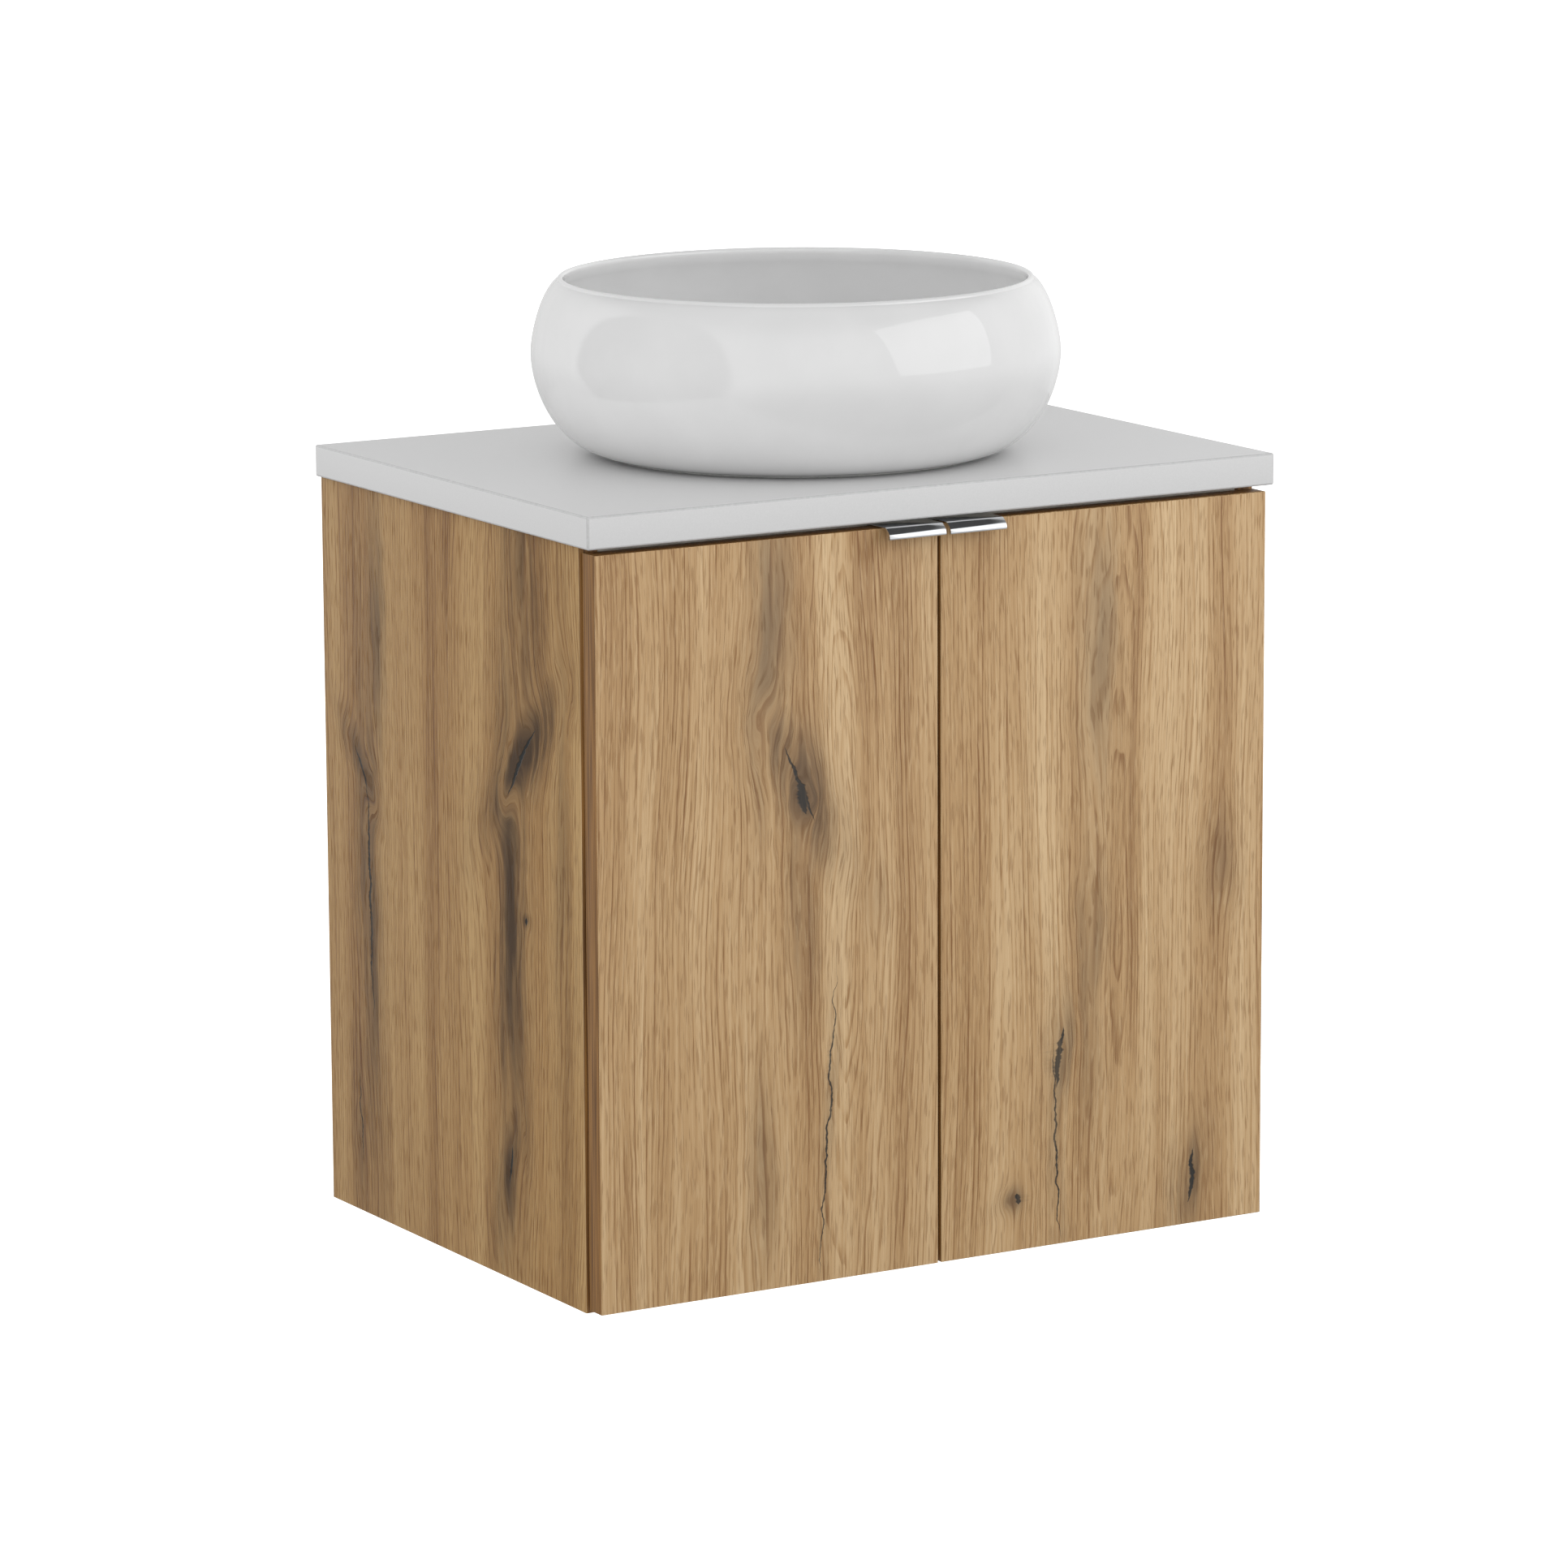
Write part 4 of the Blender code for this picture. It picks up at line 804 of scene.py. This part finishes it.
def basin_section(look, height, belly):
    """The basin's closed half section, from the lip down the outside and back up the inside."""
    fine = 26
    upper = height - look.rim_width / 2 - look.belly_height
    outside = []
    for step in range(fine + 1):
        turn = pi / 2 * (1 - step / fine)
        out = (belly - look.rim_radius) * max(cos(turn), 0.0) ** (2 / look.shoulder)
        rise = upper * sin(turn) ** (2 / look.shoulder)
        outside.append((look.rim_radius + out, look.belly_height + rise))
    for step in range(1, fine + 1):
        turn = pi / 2 * (1 - step / fine)
        out = (belly - look.foot_radius) * max(sin(turn), 0.0) ** (2 / look.flank)
        outside.append((look.foot_radius + out, look.belly_height * (1 - cos(turn) ** (2 / look.flank))))
    for easing in range(12):
        trios = zip(outside, outside[1:], outside[2:])
        eased = [tuple((a + 2 * b + c) / 4 for a, b, c in zip(*trio)) for trio in trios]
        outside = [outside[0], *eased, outside[-1]]
    wall = []
    for before, here, after in zip(outside, outside[1:], outside[2:]):
        slope = (Vector(after) - Vector(before)).normalized()
        place = Vector(here) + Vector((slope.y, -slope.x)) * look.wall
        if look.floor + 0.014 < place.y < height - 0.012:
            wall.append((place.x, place.y))
    wall.reverse()
    drain, floor, start = 0.0225, look.floor, wall[0][0]
    dish = [(drain, floor - 0.004), (drain + 0.011, floor - 0.004), (drain + 0.014, floor - 0.003)]
    dish += [(start - 0.060, floor), (start - 0.042, floor + 0.0008), (start - 0.026, floor + 0.0030)]
    dish += [(start - 0.013, floor + 0.0072), (start - 0.005, floor + 0.0115)]
    lip_middle, lip = look.rim_radius - look.rim_width / 2, look.rim_width / 2
    rim = [(look.rim_radius - look.rim_width, height - look.rim_width)]
    for step in range(8):
        turn = pi * (1 - step / 8)
        rim.append((lip_middle + lip * cos(turn), height - lip + lip * sin(turn)))
    foot_r = look.foot_radius
    foot = [(foot_r - 0.025, 0), (foot_r - 0.028, 0.004), (0.050, 0.004), (0.047, 0), (drain, 0)]
    return outside + foot + dish + wall + rim


class VANITY_OT_basin(bpy.types.Operator):
    """Make the glazed vessel basin and the silicone bead that seals it down"""

    bl_idname = "vanity.basin"
    bl_label = "Basin"

    def execute(self, context):
        low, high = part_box("basin")
        centre = middle_of("basin")
        belly = (high.x - low.x) / 2
        base = Vector((centre.x, centre.y, low.z))
        section = closed_profile(basin_section(context.scene.vanity.basin, high.z - low.z, belly), base)
        bowl = spun(section, AXIS_Z, base, 160)
        add_piece("basin_detailed", bowl, [FINISH["ceramic"]], "case", ("basin",), 40)
        turned_again("basin_seal", FINISH["silicone"], steps=128)
        return {"FINISHED"}


class VANITY_OT_waste(bpy.types.Operator):
    """Make the drain, its plug and the bottle trap under it"""

    bl_idname = "vanity.waste"
    bl_label = "Waste and trap"

    def execute(self, context):
        chrome = FINISH["chrome"]
        for node in ("waste_body", "waste_plug", "trap_inlet_tube", "trap_cup"):
            turned_again(node, chrome)
        for node in ("outlet_pipe", "wall_rosette"):
            turned_again(node, chrome, AXIS_Y)
        turned_again("waste_washer", FINISH["rubber"], width=0.0006)
        for node in ("waste_back_nut", "trap_inlet_nut", "trap_outlet_nut"):
            detailed(node, [chrome], 0.0008, 3)
        detailed("trap_body", [chrome], 0.0002)
        detailed("plug_cartridge", [FINISH["plastic"]], 0.0002)
        return {"FINISHED"}


PULL_SHEET = 0.0014


def pull_bm(node):
    """A pull's bent sheet: up the door's back, over its top, sloping out and down to a lip."""
    low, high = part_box(node)
    half = PULL_SHEET / 2
    clear = 0.0001
    back, front = high.y - half, low.y + half + clear
    top, bottom = high.z - half, lowest_near(node, low.y) + half
    crease, brow = front + 0.0056, top - 0.0044
    foot = lowest_near(node, high.y) + half
    line = [(back, foot), (back, top), (crease, top), (front, brow), (front, bottom)]
    line.append((front + 0.0018, bottom))
    folds = ((2, 0.0010, 5), (1, 0.0009, 5), (3, 0.0026, 16), (4, 0.0009, 6))
    bm = bmesh.new()
    verts = [bm.verts.new((low.x, y, z)) for y, z in line]
    edges = [bm.edges.new(pair) for pair in zip(verts, verts[1:])]
    raised = bmesh.ops.extrude_edge_only(bm, edges=edges)
    moved = [item for item in raised["geom"] if isinstance(item, bmesh.types.BMVert)]
    bmesh.ops.translate(bm, verts=moved, vec=(high.x - low.x, 0, 0))
    for corner, radius, segments in folds:
        y, z = line[corner]
        fold = [
            edge for edge in bm.edges
            if all(abs(vert.co.y - y) < MERGE and abs(vert.co.z - z) < MERGE for vert in edge.verts)
        ]
        bmesh.ops.bevel(
            bm, geom=fold, offset=radius, offset_type="OFFSET", segments=segments, profile=0.5,
            affect="EDGES", clamp_overlap=True, material=-1,
        )
    return bm


def lowest_near(node, depth):
    """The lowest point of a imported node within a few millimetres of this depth."""
    mesh = frame["nodes"][node].data
    return min(vert.co.z for vert in mesh.vertices if abs(vert.co.y - depth) < 0.004)


class VANITY_OT_pulls(bpy.types.Operator):
    """Make the two bent chrome pulls and their screws"""

    bl_idname = "vanity.pulls"
    bl_label = "Pulls"

    def execute(self, context):
        for side, tag in SIDES:
            node = "handle_" + tag
            name = node + "_detailed"
            pull = add_piece(name, pull_bm(node), [FINISH["chrome"]], body_of(node), (node,), 40)
            skin = pull.modifiers.new("sheet", "SOLIDIFY")
            skin.thickness = PULL_SHEET
            skin.offset = 0.0
            skin.use_even_offset = True
            ease = pull.modifiers.new("edges", "BEVEL")
            ease.width = 0.0002
            ease.segments = 2
            ease.limit_method = "ANGLE"
            ease.angle_limit = radians(50)
            for place in ("inner", "outer"):
                detailed("handle_screw_%s_%s" % (tag, place), [FINISH["zinc"]], 0.0001)
        return {"FINISHED"}


class VANITY_OT_hinges(bpy.types.Operator):
    """Make the concealed hinges with their screws, and the dots that the doors close on"""

    bl_idname = "vanity.hinges"
    bl_label = "Hinges"

    def execute(self, context):
        zinc = FINISH["zinc"]
        for side, tag in SIDES:
            for height in HEIGHTS:
                name = "%s_%s" % (tag, height)
                for part in ("plate", "arm", "link", "cup"):
                    detailed("hinge_%s_%s" % (part, name), [zinc], 0.00025)
                self.add_screws(side, tag, name)
            self.add_bumpers(side, tag)
        return {"FINISHED"}

    def add_screws(self, side, tag, name):
        door = "door_" + tag
        edge_x = max(abs(low_of(door).x), abs(high_of(door).x))
        back_y = high_of(door).y
        level = middle_of("hinge_arm_" + name).z
        for up, word in ((-1, "lower"), (1, "upper")):
            place = (side * (edge_x - 0.0265), back_y + 0.0011, level + up * 0.0225)
            cup = "hinge_cup_screw_%s_%s" % (name, word)
            set_head(cup, place, (0, 1, 0), 0.0033, 0.0014, "cross", body_of(door), 0.5)
            place = (side * (edge_x - 0.0173), back_y + 0.040, level + up * 0.016)
            plate = "hinge_plate_screw_%s_%s" % (name, word)
            set_head(plate, place, (-side, 0, 0), 0.0037, 0.0018, "cross", "case", 0.3)
        for depth, word in ((0.026, "front"), (0.052, "rear")):
            place = (side * (edge_x - 0.0270), back_y + depth, level)
            adjuster = "hinge_adjuster_%s_%s" % (name, word)
            set_head(adjuster, place, (-side, 0, 0), 0.0033, 0.0011, "cross", "case", 0.9)

    def add_bumpers(self, side, tag):
        door = "door_" + tag
        back_y = high_of(door).y
        for z, word in ((0.010, "low"), (high_of(door).z - 0.007, "high")):
            bm = bmesh.new()
            bmesh.ops.create_uvsphere(bm, u_segments=32, v_segments=16, radius=0.0042)
            bmesh.ops.bisect_plane(
                bm, geom=bm.verts[:] + bm.edges[:] + bm.faces[:], plane_co=(0, 0, 0), plane_no=(0, 0, 1),
                clear_inner=True,
            )
            rim = [edge for edge in bm.edges if edge.is_boundary]
            bmesh.ops.edgeloop_fill(bm, edges=rim)
            bmesh.ops.scale(bm, verts=bm.verts, vec=(1, 1, 0.55))
            aim = Vector((0, 1, 0)).to_track_quat("Z", "Y").to_matrix().to_4x4()
            place = Matrix.Translation((side * 0.070, back_y + 0.0002, z))
            bmesh.ops.transform(bm, verts=bm.verts, matrix=place @ aim)
            bmesh.ops.recalc_face_normals(bm, faces=bm.faces)
            name = "door_dot_%s_%s" % (tag, word)
            add_piece(name, bm, [FINISH["bumper"]], body_of(door))


class VANITY_OT_fixings(bpy.types.Operator):
    """Make the wall rail, the hangers, the shelf pins, the cam locks and the other screws"""

    bl_idname = "vanity.fixings"
    bl_label = "Fixings"

    def execute(self, context):
        zinc, plastic = FINISH["zinc"], FINISH["plastic"]
        detailed("wall_rail", [zinc], 0.0003)
        for side, tag in SIDES:
            detailed("wall_screw_" + tag, [zinc], 0.0002)
            detailed("hanger_" + tag, [plastic], 0.0003)
            detailed("hanger_hook_" + tag, [zinc], 0.0003)
            for row in ("front", "rear"):
                detailed("shelf_pin_%s_%s" % (tag, row), [zinc], 0.0004)
            self.add_hanger_screws(side, tag)
            self.add_cams(side, tag)
        return {"FINISHED"}

    def add_hanger_screws(self, side, tag):
        hanger = "hanger_" + tag
        low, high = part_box(hanger)
        face = low.x if side > 0 else high.x
        for z, word in ((0.531, "lift"), (0.561, "depth")):
            place = (face, (low.y + high.y) / 2, z)
            name = "%s_%s_screw" % (hanger, word)
            set_head(name, place, (-side, 0, 0), 0.0042, 0.0012, "cross", "case", 0.7)
        rail = low_of("front_top_rail")
        place = (side * 0.20, rail.y + 0.060, rail.z)
        set_head("worktop_screw_" + tag, place, (0, 0, -1), 0.0040, 0.0018, "cross", "case", 0.2)

    def add_cams(self, side, tag):
        """Cam locks, each sunk in its bore with a slot across its face."""
        x = side * 0.250
        bottom, front = high_of("bottom_panel"), low_of("front_top_rail")
        rail_y = low_of("rear_top_rail").y
        places = (
            ("bottom_front", (x, front.y + 0.050, bottom.z), (0, 0, 1)),
            ("bottom_rear", (x, -0.090, bottom.z), (0, 0, 1)),
            ("front_rail", (x, front.y + 0.040, front.z), (0, 0, -1)),
            ("rear_high", (x, rail_y, 0.529), (0, -1, 0)),
            ("rear_low", (x, rail_y, 0.056), (0, -1, 0)),
        )
        for word, place, facing in places:
            sunk = Vector(place) - Vector(facing) * 0.0122
            name = "cam_lock_%s_%s" % (word, tag)
            set_head(name, sunk, facing, 0.0072, 0.0120, "slot", "case", 0.4)


class VANITY_OT_stage(bpy.types.Operator):
    """Set up the floor, the soft light and the camera"""

    bl_idname = "vanity.stage"
    bl_label = "Stage"

    def execute(self, context):
        look = context.scene.vanity.stage
        self.add_floor(look)
        self.add_surround(look)
        self.add_lights(look)
        self.add_camera(look)
        context.scene.view_settings.view_transform = "Standard"
        return {"FINISHED"}

    def add_floor(self, look):
        bm = bmesh.new()
        bmesh.ops.create_grid(bm, x_segments=1, y_segments=1, size=30.0)
        bmesh.ops.translate(bm, verts=bm.verts, vec=(0, 0, -look.floor_drop))
        mesh = bpy.data.meshes.new("studio_floor")
        bm.to_mesh(mesh)
        bm.free()
        # Matt white seamless paper, lit until it burns out to plain white.
        paper = mottled(
            "paper_seamless_white", "#F0F0F0", "#F4F4F4", 0.9, 0.3, 0.02,
            Emission_Color=(1, 1, 1, 1), Emission_Strength=0.75,
        )
        mesh.materials.append(paper)
        floor = bpy.data.objects.new("studio_floor", mesh)
        floor.visible_diffuse = False
        floor.visible_glossy = False
        bpy.context.scene.collection.objects.link(floor)

    def add_surround(self, look):
        """A white surround: full white where it is seen, softer where it lights the unit.

        It is brightest round the horizon and to the left, and dim under the unit. What shines back from the
        glaze and the chrome has a dark doorway to the left, a dark ceiling and a dim back wall.
        """
        world = bpy.data.worlds.new("studio_surround")
        bpy.context.scene.world = world
        world.use_nodes = True
        tree = world.node_tree
        tree.nodes.clear()
        white = (1, 1, 1, 1)
        seen = add(tree, "ShaderNodeBackground", {"Color": white, "Strength": 1.0})
        course = add(tree, "ShaderNodeTexCoord").outputs["Generated"]
        heading = add(tree, "ShaderNodeSeparateXYZ", (course,)).outputs
        back, up = heading[1], heading[2]
        toward = add(tree, VECTOR, (course, (-0.98, 0.15, 0.0)), operation="DOT_PRODUCT")
        leftward = toward.outputs["Value"]

        rising = add(tree, RANGE, (up, -0.55, -0.02, look.sky * 0.34, look.sky * 1.06), **SMOOTH)
        fading = add(tree, RANGE, (up, 0.20, 0.85, 1.0, 0.56), **SMOOTH)
        level = add(tree, MATHS, (rising, fading), operation="MULTIPLY")
        lifted = add(tree, RANGE, (leftward, 0.0, 1.0, 1.0, 1.24), **SMOOTH)
        fill = add(tree, MATHS, (level, lifted), operation="MULTIPLY")
        light = add(tree, "ShaderNodeBackground", {"Color": white, "Strength": fill})

        doorway = add(tree, RANGE, (leftward, 0.72, 0.78, look.shine, look.shine * 0.20), **SMOOTH)
        ceiling = add(tree, RANGE, (up, 0.50, 0.76, 1.0, 0.12), **SMOOTH)
        wall = add(tree, RANGE, (back, 0.55, 0.92, 1.0, 0.72), **SMOOTH)
        above = add(tree, MATHS, (wall, ceiling), operation="MULTIPLY")
        dim = add(tree, MATHS, (doorway, above), operation="MULTIPLY")
        glow = add(tree, MATHS, (level, dim), operation="MULTIPLY")
        gleam = add(tree, "ShaderNodeBackground", {"Color": white, "Strength": glow})

        rays = add(tree, "ShaderNodeLightPath").outputs
        unseen = add(tree, "ShaderNodeMixShader", (rays["Is Glossy Ray"], light, gleam))
        both = add(tree, "ShaderNodeMixShader", (rays["Is Camera Ray"], unseen, seen))
        add(tree, "ShaderNodeOutputWorld", (both,))

    def add_lights(self, look):
        """One wide soft box, high at the front right."""
        lamp = bpy.data.lights.new("soft_box_key", "AREA")
        lamp.shape = "RECTANGLE"
        lamp.size, lamp.size_y = 3.4, 2.5
        lamp.energy = look.key
        holder = bpy.data.objects.new("soft_box_key", lamp)
        bpy.context.scene.collection.objects.link(holder)
        place, target = Vector((2.1, -3.0, 1.9)), Vector((0, -0.22, 0.45))
        holder.location = place
        holder.rotation_euler = (target - place).to_track_quat("-Z", "Y").to_euler()

    def add_camera(self, look):
        eye = bpy.data.cameras.new("camera")
        eye.lens = look.lens
        eye.sensor_width = 36
        eye.clip_end = 100
        camera = bpy.data.objects.new("camera", eye)
        bpy.context.scene.collection.objects.link(camera)
        aim = Matrix.Rotation(-look.turn, 4, "Z") @ Matrix.Rotation(pi / 2 - look.tip, 4, "X")
        camera.matrix_world = Matrix.Translation(look.camera) @ aim @ Matrix.Rotation(look.roll, 4, "Z")
        bpy.context.scene.camera = camera


class VANITY_PT_panel(bpy.types.Panel):
    """The vanity unit's pieces and settings"""

    bl_label = "Vanity"
    bl_idname = "VANITY_PT_panel"
    bl_space_type = "VIEW_3D"
    bl_region_type = "UI"
    bl_category = "Vanity"

    def draw(self, context):
        for operator in OPERATORS:
            self.layout.operator(operator.bl_idname)
        settings = context.scene.vanity
        for group in (settings.oak, settings.basin, settings.stage):
            column = self.layout.column()
            for name in group.__annotations__:
                column.prop(group, name)


OPERATORS = (
    VANITY_OT_boards, VANITY_OT_worktop, VANITY_OT_basin, VANITY_OT_waste, VANITY_OT_pulls,
    VANITY_OT_hinges, VANITY_OT_fixings, VANITY_OT_stage,
)
CLASSES = (OakSettings, BasinSettings, StageSettings, VanitySettings, *OPERATORS, VANITY_PT_panel)
FINISH = {}


def register():
    for item in CLASSES:
        bpy.utils.register_class(item)
    bpy.types.Scene.vanity = bpy.props.PointerProperty(type=VanitySettings)


def unregister():
    del bpy.types.Scene.vanity
    for item in reversed(CLASSES):
        bpy.utils.unregister_class(item)


def main():
    register()
    FINISH.update(make_finishes())
    for operator in OPERATORS:
        group, name = operator.bl_idname.split(".")
        getattr(getattr(bpy.ops, group), name)()


if __name__ == "__main__":
    main()
